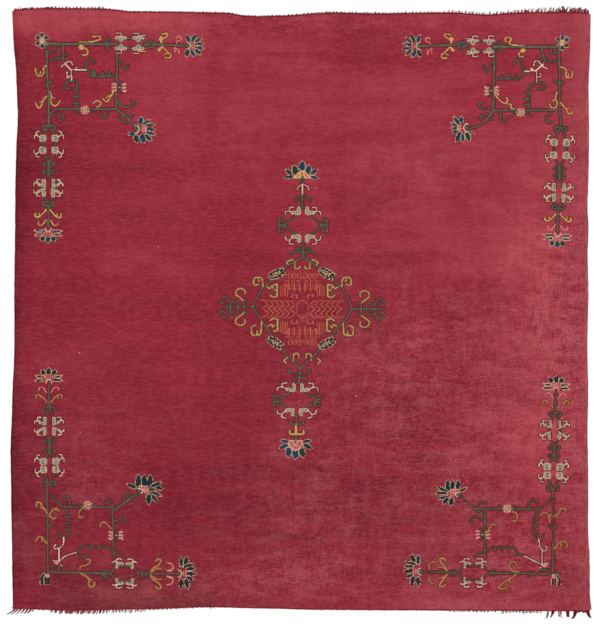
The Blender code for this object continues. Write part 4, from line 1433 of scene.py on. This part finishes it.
def stem_bud(pen):
    """A bud that lies along the medallion's stem: dark leaves in pairs, like an
    ear of corn, round a golden heart."""
    places = ((-8.6, 3.2), (-2.8, 4.4), (3.2, 4.2), (8.6, 2.8))
    for yarn, half in (("cream", 2.15), ("pine", 1.65)):
        for hand in pen.mirrored():
            for place, away in places:
                leaf = hand.moved(place, away, 24)
                tip = 2.6 * half
                leaf.patch(yarn, (-tip, 0), (-0.4 * tip, half), (0.5 * tip, half), (tip, 0),
                           (0.5 * tip, -half), (-0.4 * tip, -half))
    pen.line("leaf", 1.6, (-13, 0), (13, 0))
    for place in (-3.6, 0.4, 4.4):
        pen.spot("gold", place, 0, 1.4, 1.0)


# The two halves of the medallion's outline, from its upper tip to its lower one.
MEDALLION_LEFT = [
    (3.6, 81), (-21.9, 67.4), (-37.9, 51.3), (-58, 33.9), (-66, 20.5),
    (-72.7, 5.8), (-58, -15.6), (-40.6, -42.4), (-25.9, -61.2), (-1.5, -86.7),
]
MEDALLION_RIGHT = [
    (3.6, 81), (26.4, 66), (45.1, 48.6), (62.5, 33.9), (69.2, 20.5),
    (76.7, 3.1), (67.9, -11.6), (50.5, -31.7), (31.7, -54.5), (-1.5, -86.7),
]


def medallion_hooks(pen):
    """The golden hooks inside and outside one half of the medallion's outline."""
    pen.curve("straw", 2.4, (14, 76.6), (20, 74.6), (22.6, 72), (21, 69))
    pen.curve("straw", 2.4, (10.6, 74), (11, 66), (10, 63.4), (4.6, 63.4), (3, 67))
    pen.curve("straw", 2.4, (58.5, 36), (59.5, 47), (64, 50), (71, 48.6), (72.6, 42), (71, 38),
              (65.6, 39.4))
    pen.line("straw", 2.2, (65, 49.6), (64.4, 43.6))
    pen.line("straw", 2.6, (37.6, 40), (37.6, 22))
    pen.line("straw", 2.4, (37.6, 40), (44, 37.6))
    pen.curve("straw", 2.4, (37.6, 22), (43, 20), (48, 23.6))
    pen.curve("straw", 2.2, (53, 36), (48.6, 33), (45.6, 36.6), (43, 33))
    pen.line("straw", 2.2, (38, 31), (42, 30.6))
    pen.curve("straw", 2.4, (60.4, -17), (61.4, -30), (63, -36), (73.6, -37), (75.6, -32), (75.4, -25),
              (70, -22))
    pen.line("straw", 2.2, (67.6, -37), (67, -30.6))
    pen.line("straw", 2.6, (36.6, -13), (36.6, -30))
    pen.curve("straw", 2.4, (36.6, -13), (43, -12), (47.6, -15))
    pen.curve("straw", 2.2, (51, -23.6), (46, -21), (44, -25), (41, -21.6))
    pen.line("straw", 2.4, (36.6, -30), (42, -31))
    pen.curve("straw", 2.4, (13, -75), (12.6, -67), (10, -64), (5.6, -65), (5, -71))
    pen.curve("straw", 2.2, (21.6, -70.6), (26.6, -75), (22.6, -79.4))


def medallion_end(pen):
    """What stands out from one side of the medallion: two bars and a double curl."""
    pen.line("stem", 2.8, (-1, 0), (28, 0))
    for hand in pen.mirrored():
        hand.curve("stem", 2.6, (13, 0), (14, 8), (11, 9.6), (8, 8))
        hand.curve("stem", 2.4, (22, 0), (22.6, 7), (26.6, 8.6))
        hand.curve("stem", 2.6, (34, 1), (34.4, 7), (37.6, 14), (42, 16), (46.8, 12.4), (48.4, 7.6),
                   (45.4, 5.6), (42.6, 8.6))
        hand.curve("stem", 2.2, (33.4, 7), (30, 8.6), (28.6, 5.4))
    pen.line("stem", 2.6, (28, 0), (44, 0))
    pen.line("leaf", 2.2, (38, -3), (38, 3))


def end_hooks(pen):
    """The pair of big golden hooks beside a medallion end."""
    for hand in pen.mirrored():
        hand.curve("straw", 2.4, (14, 9), (20, 14), (26, 19), (24.6, 25), (18, 27.6), (12, 24),
                   (12.6, 19))


def small_ornament(pen):
    """What fills the medallion, in fine coral lines: rows of hooks and combs that
    mirror each other. It is plain ornament, and nothing in it can be read."""
    for side in (-1, 1):
        at = Pen(pen.cartoon, *pen.place([(2, 3)])[0], along=pen.axes[0] * side, aside=pen.axes[1])
        for up in (-1, 1):
            half = at.moved(0, 0, flip=up)
            for place in (2, 9, 16):
                half.curve("coral", 1.1, (place + 1, 53), (place, 47), (place + 2.6, 45.6), (place + 5, 49),
                           (place + 4, 53.6))
            for place in (4, 12, 20):
                half.curve("coral", 1.1, (place + 5, 41.6), (place + 1, 42.6), (place, 37),
                           (place, 26 + place * 0.1))
                half.line("coral", 1.1, (place - 2.6, 30.6), (place + 2.6, 30.6))
                half.line("coral", 1.1, (place + 3.4, 38), (place + 3.4, 33))
            for number, place in enumerate((22.6, 26, 29.4, 32.8)):
                half.line("coral", 1.1, (place, 18.6 + (number % 2) * 2), (place, 35 - number * 0.7))
            half.curve("coral", 1.1, (21, 35.6), (25, 37), (29, 35), (34, 33.4))
            half.line("coral", 1.1, (8, 16.6), (8, 21.6), (16, 21.6), (16, 17.6))
        for place in (14, 22, 30, 38, 46, 54):
            at.curve("coral", 1.1, (place + 7, 12.8), (place + 2, 11.6), (place - 2, 6), (place + 4.6, 0.4),
                     (place - 2, -5.6), (place + 2, -11.4), (place + 7, -12.6))
            at.line("coral", 1.1, (place + 1, 4), (place + 5, 0.4), (place + 1, -3.6))
    pen.curve("coral", 1.2, (2, 17), (9.6, 11), (10.6, 3.6), (9.6, -4), (2, -10.6), (-5.6, -4), (-6.6, 3.6),
              (-5.6, 11), (2, 17))


def centre(cartoon):
    """The medallion with what fills it, and the sprays and curls round it."""
    pen = Pen(cartoon, 0, 0, weight=0.9)
    small_ornament(pen)
    medallion_hooks(pen.moved(2.6, 0.4))
    medallion_hooks(Pen(cartoon, 1.4, 0.6, along=(-1, 0), aside=(0, 1), weight=0.9))
    centre_top(Pen(cartoon, 3.0, 81, along=(0, 1), aside=(-1, 0), weight=0.95))
    centre_bottom(Pen(cartoon, -1.5, -86.7, along=(0, -1), aside=(1, 0), weight=0.95))
    for outline in (MEDALLION_LEFT, MEDALLION_RIGHT):
        pen.line("stem", 2.9, *outline)
    for x, y, turn in ((-36.6, 55.6, 22), (38.4, 56.4, -28), (-39.3, -47.4, -32), (38.4, -48.8, 28)):
        stem_bud(pen.moved(x, y, turn))
    for x, y, way in ((-72, 6.3, -1), (76.5, 3, 1)):
        at = Pen(cartoon, x, y, along=(way, 0), aside=(0, 1), weight=0.85)
        end_hooks(at)
        medallion_end(at)


# Single pale knots in the plain field.
STRAY_KNOTS = [(-333, -63), (-331, -182), (82, -128), (22, 185), (-214, 96)]


def drawn_cartoon():
    """The whole pattern. What is drawn later covers what was drawn before."""
    cartoon = Cartoon()
    for spray in TOP_SPRAYS:
        upright_spray(cartoon, spray)
    top_left(Pen(cartoon, -382, 401, (1, 0), (0, -1), 0.94))
    top_right(Pen(cartoon, 386, 396.5, (-1, 0), (0, -1), 0.95))
    centre(cartoon)
    cartoon.lots = BOTTOM_LOTS
    for spray in BOTTOM_SPRAYS:
        upright_spray(cartoon, spray)
    bottom_left(Pen(cartoon, -378.5, -391.4, weight=0.9))
    bottom_right(Pen(cartoon, 377.8, -393.8, (-1, 0), (0, 1), 0.75))
    for x, y in STRAY_KNOTS:
        Pen(cartoon, x, y).spot("rose", 0, 0, 0.9, 0.7)
    return outlined(cartoon.knots)


def outlined(knots):
    """The cartoon with darker knots tied where its motifs meet the plain field."""
    made = knots.copy()
    for yarn, outline in OUTLINES.items():
        tied = made == YARN_NUMBER[yarn]
        near = tied.copy()
        near[1:] |= tied[:-1]
        near[:-1] |= tied[1:]
        near[:, 1:] |= tied[:, :-1]
        near[:, :-1] |= tied[:, 1:]
        made[near & (made == 0)] = YARN_NUMBER[outline.yarn]
    return made


# The most knots that one block of pile takes, across and up; how far the pattern
# stands above the field and how uneven its top is, in metres; and how far in a
# block's ridge starts, as a share of a knot.
LONGEST_RUN = 6
TALLEST_BLOCK = 3
KNOT_STANDS = 0.0005
KNOT_UNEVEN = 0.0002
RIDGE_INSET = 0.28


def runs_of(knots):
    """Level runs of knots of one yarn, as columns: row, first, past last, yarn."""
    padded = np.pad(knots, ((0, 0), (1, 1))).astype(int)
    flat = padded.ravel()
    changes = np.flatnonzero(flat[1:] != flat[:-1]) + 1
    starts, stops = changes[:-1], changes[1:]
    tied = flat[starts] > 0
    starts, stops = starts[tied], stops[tied]
    pieces = np.ceil((stops - starts) / LONGEST_RUN).astype(int)
    which = np.repeat(np.arange(len(starts)), pieces)
    step = np.arange(len(which)) - np.repeat(np.cumsum(pieces) - pieces, pieces)
    length = (stops - starts)[which] / pieces[which]
    first = starts[which] + np.round(step * length).astype(int)
    last = starts[which] + np.round((step + 1) * length).astype(int)
    row, wide = starts[which] // padded.shape[1], padded.shape[1]
    return row, first - row * wide - 1, last - row * wide - 1, flat[starts][which]


def blocks_of(knots):
    """Equal runs joined one above the other, as columns: row, past last row,
    first, past last, yarn."""
    runs = np.stack(runs_of(knots))
    runs = runs[:, np.lexsort((runs[0], runs[2], runs[1], runs[3]))]
    change = np.diff(runs, axis=1)
    joins = (change[0] == 1) & (change[1:] == 0).all(axis=0)
    heads = np.concatenate([[True], ~joins])
    place = np.arange(len(heads))
    since = place - np.maximum.accumulate(np.where(heads, place, 0))
    starts = np.flatnonzero(since % TALLEST_BLOCK == 0)
    ends = np.append(starts[1:], len(heads)) - 1
    row, first, last, yarn = runs
    return row[starts], row[ends] + 1, first[starts], last[starts], yarn[starts]


def as_woven(column, row):
    """World x, y of a place on the cartoon, with the loom's small wandering."""
    x = (column - CARTOON_COLUMNS / 2) * KNOT
    y = (row - CARTOON_ROWS / 2) * KNOT
    aside = 0.0011 * drift(x, y, 0.3, 0.014, 31)
    up = 0.0020 * drift(x, y, 0.14, 0.4, 32)
    return x + aside + WEAVE_MIDDLE[0], y + up + WEAVE_MIDDLE[1]


def pattern_pile(knots):
    """The pattern's knots as closed blocks of pile, gathered into one piece for
    each yarn."""
    row, above, first, last, yarn = blocks_of(knots)
    corners = []
    for column, level in ((first, row), (last, row), (last, above), (first, above)):
        corners.append(np.stack(as_woven(column, level), axis=-1))
    ground = np.stack(corners, axis=1)
    stands = pile_height(ground[..., 0], ground[..., 1])
    uneven = KNOT_UNEVEN * np.random.default_rng(33).uniform(-1, 1, len(row))
    west, east = ground[:, [0, 3]].mean(axis=1), ground[:, [1, 2]].mean(axis=1)
    inset = RIDGE_INSET * KNOT / np.maximum(np.linalg.norm(east - west, axis=1), KNOT)[:, None]
    ridge = np.stack([west + (east - west) * inset, east - (east - west) * inset], axis=1)
    crest = stands.mean(axis=1) + KNOT_STANDS + uneven
    points = np.zeros((len(row), 10, 3))
    points[:, :4, :2] = points[:, 4:8, :2] = ground
    points[:, 4:8, 2] = stands + 0.5 * KNOT_STANDS
    points[:, 8:, :2] = ridge
    points[:, 8:, 2] = np.maximum(crest, stands.max(axis=1) + 0.6 * KNOT_STANDS)[:, None]
    # A block's foot, its four low sides, and the four slopes that meet in its ridge.
    block = [
        (3, 2, 1, 0), (0, 1, 5, 4), (1, 2, 6, 5), (2, 3, 7, 6), (3, 0, 4, 7),
        (4, 5, 9, 8), (6, 7, 8, 9), (5, 6, 9), (7, 4, 8),
    ]
    pieces = []
    for number, kind in enumerate(YARNS, start=1):
        part = points[yarn == number]
        faces = [tuple(10 * i + j for j in face) for i in range(len(part)) for face in block]
        wool = yarn_wool("wool_" + kind.name, *(linear(*shade) for shade in kind[1:]))
        pieces.append(new_piece("pattern_" + kind.name, part.reshape(-1, 3), faces, wool, smooth=False))
    return pieces


# ---------------------------------------------------------------- the side cords

# A side cord: the piece, the CAD's node, the side towards -X or +X, the width in
# metres and how many ribs it has.
Cord = namedtuple("Cord", "name node side width ribs")
CORDS = [
    Cord("side_cord_left", "selvedge_left", -1, 0.012, 2),
    Cord("side_cord_right", "selvedge_right", 1, 0.024, 3),
]
# The top of a rib, the distance between windings and the red where a cord is rubbed.
CORD_TOP = 0.0070
WRAP = 0.009
RUBBED_CORD = np.array(linear(158, 80, 80))


def cord_shade(cord, share, x, y):
    """The cord's colour: the field's own, rubbed in places and darker outside, with a painted highlight
    along its inner side that hides the shadow in the groove beside the pile.
    """
    ground = field_dye(x - cord.side * 0.03, y)
    rubbed = np.clip(0.20 + 0.45 * drift(share * 0, y, 1, 0.11, 42), 0, 0.7) * (cord.side > 0)
    base = ground * (1 - rubbed)[:, None] + RUBBED_CORD * rubbed[:, None]
    outer = np.clip((share - 0.70) / 0.25, 0, 1) * (0.25 if cord.side < 0 else 0.40)
    # Painted highlight: the right cord is made lighter next to the pile, against the shadow that falls in
    # the groove between them.
    painted_groove_light = -0.14 * np.exp(-(((share - 0.02) / 0.12) ** 2)) * (cord.side > 0)
    fleck = 1 + 0.22 * drift(share, y, 0.4, 0.03, 43)
    return base * ((1 - np.clip(outer + painted_groove_light, -0.2, 0.6)) * fleck)[:, None]


def side_cord(cord):
    """Side warps bundled into ribs and wrapped round with wool, turn on turn."""
    side = SIDES["left" if cord.side < 0 else "right"]
    low, high = side.y[0] + 0.002, side.y[-1] - 0.002
    turns = int((high - low) / (WRAP / 3))
    y = np.linspace(low, high, turns + 1)
    inner = np.interp(y, side.y, side.x) + cord.side * 0.3 * GAP
    # The cord's section, from the pile outwards: a foot, the ribs and a foot.
    steps = 4 * cord.ribs
    share = np.concatenate([[0.03], np.linspace(0, 1, steps + 1), [0.97]])
    crest = np.abs(np.sin(np.pi * cord.ribs * share)) ** 0.7
    height = 0.0050 + (CORD_TOP - 0.0052) * crest
    height[1], height[-2] = 0.0054, 0.0030
    height[0] = height[-1] = 0.0
    share_grid, y_grid = np.meshgrid(share, y)
    turn = np.sin(2 * np.pi * (y_grid / WRAP + 0.5 * share_grid)) * 0.00045
    wander = 0.0010 * drift(y_grid * 0, y_grid, 1, 0.04, 44) * share_grid
    x = inner[:, None] + cord.side * (share_grid * cord.width + wander)
    z = np.broadcast_to(height, share_grid.shape) + np.where(height > 0.004, turn, 0)
    points = np.stack([x, y_grid, z], axis=-1).reshape(-1, 3)
    across = len(share)
    index = np.arange(len(points)).reshape(len(y), across)
    near, far = index[:-1], index[1:]
    following = np.roll(np.arange(across), -1)
    quads = np.stack([near, near[:, following], far[:, following], far], axis=-1).reshape(-1, 4)
    if cord.side < 0:
        quads = quads[:, ::-1]
    ends = [index[0][:: -cord.side].tolist(), index[-1][:: cord.side].tolist()]
    piece = new_piece(cord.name, points, quads.tolist() + ends, CORD_WOOL)
    tint(piece, "dye", cord_shade(cord, share_grid.ravel(), x.ravel(), y_grid.ravel()))
    return piece


# ---------------------------------------------------------------- the fringed ends

# Runs of fringe, as in the CAD, in metres from the rug's middle: where the run
# starts and stops, the distance between locks, a lock's length and width, and how
# far its tip leans towards +X as a share of its length.
LockRun = namedtuple("LockRun", "start stop pitch length width lean")
TOP_FRINGE = [
    LockRun(-1.985, -1.36, 0.025, 0.014, 0.010, 0.25),
    LockRun(-1.36, -0.10, 0.028, 0.008, 0.012, -0.10),
    LockRun(-0.10, 0.98, 0.026, 0.011, 0.011, 0.15),
    LockRun(0.98, 1.46, 0.024, 0.019, 0.010, 0.30),
    LockRun(1.46, 1.99, 0.024, 0.036, 0.011, 0.20),
]
BOTTOM_FRINGE = [
    LockRun(-1.985, -1.83, 0.019, 0.034, 0.010, -0.55),
    LockRun(-1.83, -1.66, 0.034, 0.007, 0.012, 0.00),
    LockRun(-1.66, -1.06, 0.022, 0.028, 0.010, -0.25),
    LockRun(-1.06, -0.58, 0.030, 0.010, 0.012, -0.30),
    LockRun(1.02, 1.38, 0.026, 0.012, 0.011, -0.15),
    LockRun(1.38, 1.68, 0.024, 0.020, 0.011, 0.20),
    LockRun(1.68, 1.995, 0.037, 0.058, 0.017, -0.15),
]
FRINGE_SEED = 11
LENGTH_SPREAD = 0.30
LEAN_SPREAD = 0.12
STRIP_WIDTH = 0.010
STRIP_RED = np.array(linear(126, 31, 46))
STRANDS_PER_LOCK = 6
# The share of pale yarns, whose colour is painted highlight on the red wool, in the
# locks and in the short fuzz, and the fuzz's yarns at each end of the rug.
HIGHLIGHT_SHARE_IN_LOCKS = 0.22
HIGHLIGHT_SHARE_IN_FUZZ = 0.15
FUZZ_YARNS = 1100
# Outside these places the bottom end's locks are the tufts listed below.
TUFTS_LEFT_OF = -1.84
TUFTS_RIGHT_OF = 1.70
# The height at which a yarn's middle lies on the floor.
YARN_RESTS = 0.0009

# The locks that stand out: the place, the root's width, the length, the tip's lean
# towards +X as a share of the length, the number of yarns and the share of pale ones (painted highlight).
Tuft = namedtuple("Tuft", "place width length lean yarns pale")
TOP_TUFTS = [
    Tuft(-1.908, 0.014, 0.011, 0.10, 8, 0.1), Tuft(-1.863, 0.016, 0.013, 0.30, 8, 0.1),
    Tuft(-1.755, 0.028, 0.012, 0.40, 14, 0.1), Tuft(-1.725, 0.028, 0.013, 0.40, 14, 0.1),
    Tuft(1.552, 0.034, 0.022, 0.20, 14, 0.3), Tuft(1.631, 0.022, 0.018, 0.10, 10, 0.3),
    Tuft(1.716, 0.040, 0.014, 0.30, 14, 0.4), Tuft(1.790, 0.030, 0.022, -0.20, 12, 0.6),
    Tuft(1.818, 0.026, 0.046, -0.38, 18, 0.5), Tuft(1.856, 0.020, 0.036, 1.05, 16, 0.1),
    Tuft(1.886, 0.022, 0.030, 0.70, 14, 0.2), Tuft(1.915, 0.018, 0.038, 0.30, 14, 0.1),
    Tuft(1.938, 0.016, 0.026, 0.20, 12, 0.2), Tuft(1.958, 0.018, 0.036, 0.30, 14, 0.1),
    Tuft(1.980, 0.018, 0.024, 0.10, 12, 0.1),
]
BOTTOM_TUFTS = [
    Tuft(-1.975, 0.016, 0.046, -1.30, 7, 0.3), Tuft(-1.954, 0.014, 0.048, -1.05, 6, 0.4),
    Tuft(-1.934, 0.014, 0.046, -0.85, 6, 0.4), Tuft(-1.912, 0.016, 0.040, -0.70, 7, 0.4),
    Tuft(-1.888, 0.014, 0.038, -0.75, 6, 0.5), Tuft(-1.866, 0.014, 0.034, -0.75, 6, 0.4),
    Tuft(-1.846, 0.010, 0.024, -0.60, 5, 0.3),
    Tuft(-1.722, 0.020, 0.022, -0.20, 8, 0.5), Tuft(-1.690, 0.022, 0.027, -0.35, 10, 0.4),
    Tuft(-1.655, 0.026, 0.031, -0.45, 12, 0.5), Tuft(-1.618, 0.022, 0.028, -0.10, 10, 0.4),
    Tuft(-1.582, 0.026, 0.033, -0.40, 12, 0.5), Tuft(-1.540, 0.022, 0.029, -0.20, 10, 0.4),
    Tuft(-1.503, 0.024, 0.033, -0.45, 12, 0.5), Tuft(-1.462, 0.022, 0.029, -0.15, 10, 0.4),
    Tuft(-1.425, 0.024, 0.031, -0.35, 10, 0.5), Tuft(-1.385, 0.020, 0.027, -0.25, 10, 0.4),
    Tuft(1.742, 0.022, 0.052, -0.42, 16, 0.1), Tuft(1.780, 0.010, 0.046, 0.00, 6, 0.7),
    Tuft(1.795, 0.009, 0.056, 0.02, 6, 0.5), Tuft(1.842, 0.024, 0.050, 0.06, 20, 0.0),
    Tuft(1.897, 0.024, 0.062, -0.40, 20, 0.0), Tuft(1.978, 0.026, 0.054, 0.45, 20, 0.0),
]
# The cord that lies in loops beside the last lock, as world x and the distance out.
LOOPED_CORD = [
    (1.880, 0.006), (1.900, 0.012), (1.917, 0.016), (1.934, 0.008),
    (1.954, 0.018), (1.968, 0.010), (1.984, 0.012),
]


def planned_locks(runs, end_side):
    """Each lock as (place, length, width, lean), on the same throws as the CAD."""
    dice = random.Random(FRINGE_SEED + end_side)
    locks = []
    for run in runs:
        for i in range(int((run.stop - run.start) / run.pitch)):
            place = run.start + run.pitch * (i + 0.5)
            length = run.length * (1 + LENGTH_SPREAD * dice.uniform(-1, 1))
            lean = run.lean + LEAN_SPREAD * dice.uniform(-1, 1)
            locks.append((place, length, run.width, lean))
    return locks


def end_edge(end_side, x, out=0.0):
    """The y of the field's end at world x, and so far outside it."""
    side = SIDES["top" if end_side > 0 else "bottom"]
    return np.interp(x, side.x, side.y) + end_side * out


def end_strip(name, node, end_side, material):
    """The narrow flat-woven strip between the pile and the fringe."""
    low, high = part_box(node)[0].x + 0.012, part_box(node)[1].x - 0.012
    x = np.linspace(low, high, 420)
    # The strip's section, from the pile outwards: shares of its width, and heights.
    across = np.array([0.0, 0.0, 0.15, 0.30, 0.45, 0.60, 0.75, 0.88, 1.0, 1.0])
    height = np.array([0, 3.4, 4.0, 3.2, 4.0, 3.2, 3.9, 3.0, 1.8, 0]) / 1000
    grid_x, grid_a = np.meshgrid(x, across, indexing="ij")
    ragged = 0.0014 * drift(grid_x, grid_x * 0, 0.012, 1, 51) * grid_a
    y = end_edge(end_side, grid_x, GAP) + end_side * (grid_a * (STRIP_WIDTH - 0.0006) + ragged)
    lift = 0.0004 * drift(grid_x, grid_a, 0.006, 0.2, 52)
    z = np.where(height > 0, height + lift, 0)
    points = np.stack([grid_x, y, z], axis=-1).reshape(-1, 3)
    index = np.arange(len(points)).reshape(len(x), len(across))
    near, far = index[:-1], index[1:]
    following = np.roll(np.arange(len(across)), -1)
    quads = np.stack([near, far, far[:, following], near[:, following]], axis=-1).reshape(-1, 4)
    if end_side < 0:
        quads = quads[:, ::-1]
    ends = [index[0][::-end_side].tolist(), index[-1][::end_side].tolist()]
    piece = new_piece(name, points, quads.tolist() + ends, material)
    shade = 1 + 0.35 * drift(points[:, 0], points[:, 1], 0.02, 0.004, 53)
    tint(piece, "dye", STRIP_RED * shade[:, None])
    return piece


def strand(points, faces, path, radii):
    """Adds a thin closed three-sided yarn along a path."""
    first = len(points)
    for i, (x, y, z) in enumerate(path):
        before, after = path[max(i - 1, 0)], path[min(i + 1, len(path) - 1)]
        dx, dy = after[0] - before[0], after[1] - before[1]
        size = math.hypot(dx, dy) or 1
        for turn in (90, 210, 330):
            aside = radii[i] * math.cos(math.radians(turn))
            up = radii[i] * math.sin(math.radians(turn))
            points.append((x - dy / size * aside, y + dx / size * aside, z + up))
    for i in range(len(path) - 1):
        for j in range(3):
            a, b = first + 3 * i + j, first + 3 * i + (j + 1) % 3
            faces.append((a, b, b + 3, a + 3))
    faces.append((first + 2, first + 1, first))
    last = first + 3 * (len(path) - 1)
    faces.append((last, last + 1, last + 2))


def strand_path(root, length, lean, end_side, dice):
    """A yarn from its root on the end strip out and down onto the floor."""
    bend, wave, start = dice.uniform(-0.16, 0.16), dice.uniform(0, 6.28), root[2]
    path = []
    for step in range(6):
        share = step / 5
        out = length * share
        curl = 0.0012 * math.sin(wave + 5 * share) * share
        aside = (lean + bend) * length * share**1.6 + curl
        height = YARN_RESTS + (start - YARN_RESTS) * (1 - share) ** 1.5
        path.append((root[0] + aside, root[1] + end_side * out, height))
    return path


def fringe(name, end_side, runs, tufts, material, seed):
    """The fringe: every lock of the CAD as a few loose yarns, then the longer
    tufts, and short fuzz."""
    dice = random.Random(seed)
    points, faces, colours = [], [], []
    dark = [linear(84, 14, 30), linear(104, 20, 36), linear(134, 36, 50)]
    # The pale shades are painted highlights on the red wool of the fringe.
    pale = [linear(164, 84, 90), linear(206, 150, 144), linear(150, 58, 68)]

    def yarn(place, reach, lean, thick, shade):
        """Adds one yarn that starts at a place along the rug's end."""
        x = place + WEAVE_MIDDLE[0]
        root = (x, float(end_edge(end_side, x, STRIP_WIDTH - 0.003)), dice.uniform(0.0014, 0.0034))
        start = len(points)
        path = strand_path(root, reach, lean, end_side, dice)
        strand(points, faces, path, [thick * share for share in (1, 1, 1, 0.95, 0.8, 0.4)])
        colours.extend([shade] * (len(points) - start))

    for place, length, width, lean in planned_locks(runs, end_side):
        if end_side < 0 and (place > TUFTS_RIGHT_OF or place < TUFTS_LEFT_OF):
            continue
        for _ in range(STRANDS_PER_LOCK):
            shade = dice.choice(pale if dice.random() < HIGHLIGHT_SHARE_IN_LOCKS else dark)
            reach = 0.002 + length * dice.uniform(0.55, 1.0)
            yarn(place + dice.uniform(-0.8, 0.8) * width, reach, lean, dice.uniform(0.0010, 0.0018), shade)
    for tuft in tufts:
        for number in range(tuft.yarns):
            share = (number + 0.5) / tuft.yarns - 0.5 + dice.uniform(-0.06, 0.06)
            shade = dice.choice(pale if dice.random() < tuft.pale else dark)
            gathered = tuft.lean - 0.7 * share * tuft.width / tuft.length
            reach = tuft.length * (1 - 0.35 * abs(share)) * dice.uniform(0.88, 1.0)
            yarn(tuft.place + share * tuft.width, reach, gathered, dice.uniform(0.0016, 0.0024), shade)
    for _ in range(FUZZ_YARNS):
        place = dice.uniform(-HALF_WIDTH + 0.01, HALF_WIDTH - 0.01)
        shade = dice.choice(pale if dice.random() < HIGHLIGHT_SHARE_IN_FUZZ else dark)
        yarn(place, dice.uniform(0.002, 0.007), dice.uniform(-0.6, 0.6), 0.0008, shade)
    if end_side < 0:
        path = rounded(LOOPED_CORD, 4)
        path = [(x, float(end_edge(end_side, x, out)), 0.0050) for x, out in path]
        start = len(points)
        strand(points, faces, path, [0.0042] * len(path))
        colours.extend([dark[0]] * (len(points) - start))
    piece = new_piece(name, points, faces, material)
    tint(piece, "dye", colours)
    return piece


# ---------------------------------------------------------------- floor, light, camera

# How far the floor reaches to each side, and how far it lies under the rug.
FLOOR_REACH = 60
FLOOR_DROP = 0.0002
# How many metres the picture shows from top to bottom, and where its middle is.
FRAME_HEIGHT = 4.326
FRAME_MIDDLE = (-0.0097, -0.0007)


def floor_material():
    """The nearly white paper of a photo studio's floor."""
    shader = Shader("studio_floor")
    colour = shader.node("ShaderNodeMix", data_type="RGBA")
    shader.join(shader.noise((0.5, 0.5, 0.5), 2.0), colour.inputs["Factor"])
    colour.inputs["A"].default_value = (0.90, 0.90, 0.90, 1)
    colour.inputs["B"].default_value = (0.93, 0.93, 0.93, 1)
    shader.join(colour.outputs["Result"], shader.main.inputs["Base Color"])
    shader.main.inputs["Roughness"].default_value = 0.8
    return shader.material


def studio():
    """A wide pale floor, even light from all round and one soft lamp."""
    corners = [(FLOOR_REACH * x, FLOOR_REACH * y, 0) for x, y in ((-1, -1), (1, -1), (1, 1), (-1, 1))]
    floor = new_piece("floor", corners, [(0, 1, 2, 3)], floor_material(), smooth=False)
    floor.location.z = -FLOOR_DROP
    world = bpy.data.worlds.new("studio")
    bpy.context.scene.world = world
    world.use_nodes = True
    world.node_tree.nodes["Background"].inputs["Color"].default_value = (1, 1, 1, 1)
    world.node_tree.nodes["Background"].inputs["Strength"].default_value = 0.85
    lamp = bpy.data.lights.new("soft_lamp", "SUN")
    lamp.energy = 1.4
    lamp.angle = math.radians(14)
    light = bpy.data.objects.new("soft_lamp", lamp)
    light.rotation_euler = (math.radians(38), math.radians(-26), 0)
    bpy.context.scene.collection.objects.link(light)
    bpy.context.scene.view_settings.view_transform = "Standard"


def camera():
    """Straight above the rug, far off with a long lens."""
    lens = bpy.data.cameras.new("camera")
    lens.lens = 85
    lens.sensor_width = 36
    lens.clip_end = 100
    made = bpy.data.objects.new("camera", lens)
    away = FRAME_HEIGHT * lens.lens / lens.sensor_width
    made.location = (*FRAME_MIDDLE, PILE_THICKNESS + away)
    bpy.context.scene.collection.objects.link(made)
    bpy.context.scene.camera = made


# ---------------------------------------------------------------- the whole rug

CORD_WOOL = cord_wool()
FRINGE_WOOL = fringe_wool()

field = pile_field()
pattern = pattern_pile(drawn_cartoon())
cords = [side_cord(cord) for cord in CORDS]
strips = [
    end_strip("end_strip_top", "fringe_top", 1, FRINGE_WOOL),
    end_strip("end_strip_bottom", "fringe_bottom", -1, FRINGE_WOOL),
]
fringes = [
    fringe("fringe_yarns_top", 1, TOP_FRINGE, TOP_TUFTS, FRINGE_WOOL, 61),
    fringe("fringe_yarns_bottom", -1, BOTTOM_FRINGE, BOTTOM_TUFTS, FRINGE_WOOL, 62),
]

for piece in [field, *pattern, *cords, *strips, *fringes]:
    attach(piece, "root")
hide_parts("pile_field")
for piece, cord in zip(cords, CORDS):
    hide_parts(cord.node)
for piece, node in zip(strips, ("fringe_top", "fringe_bottom")):
    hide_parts(node)

studio()
camera()
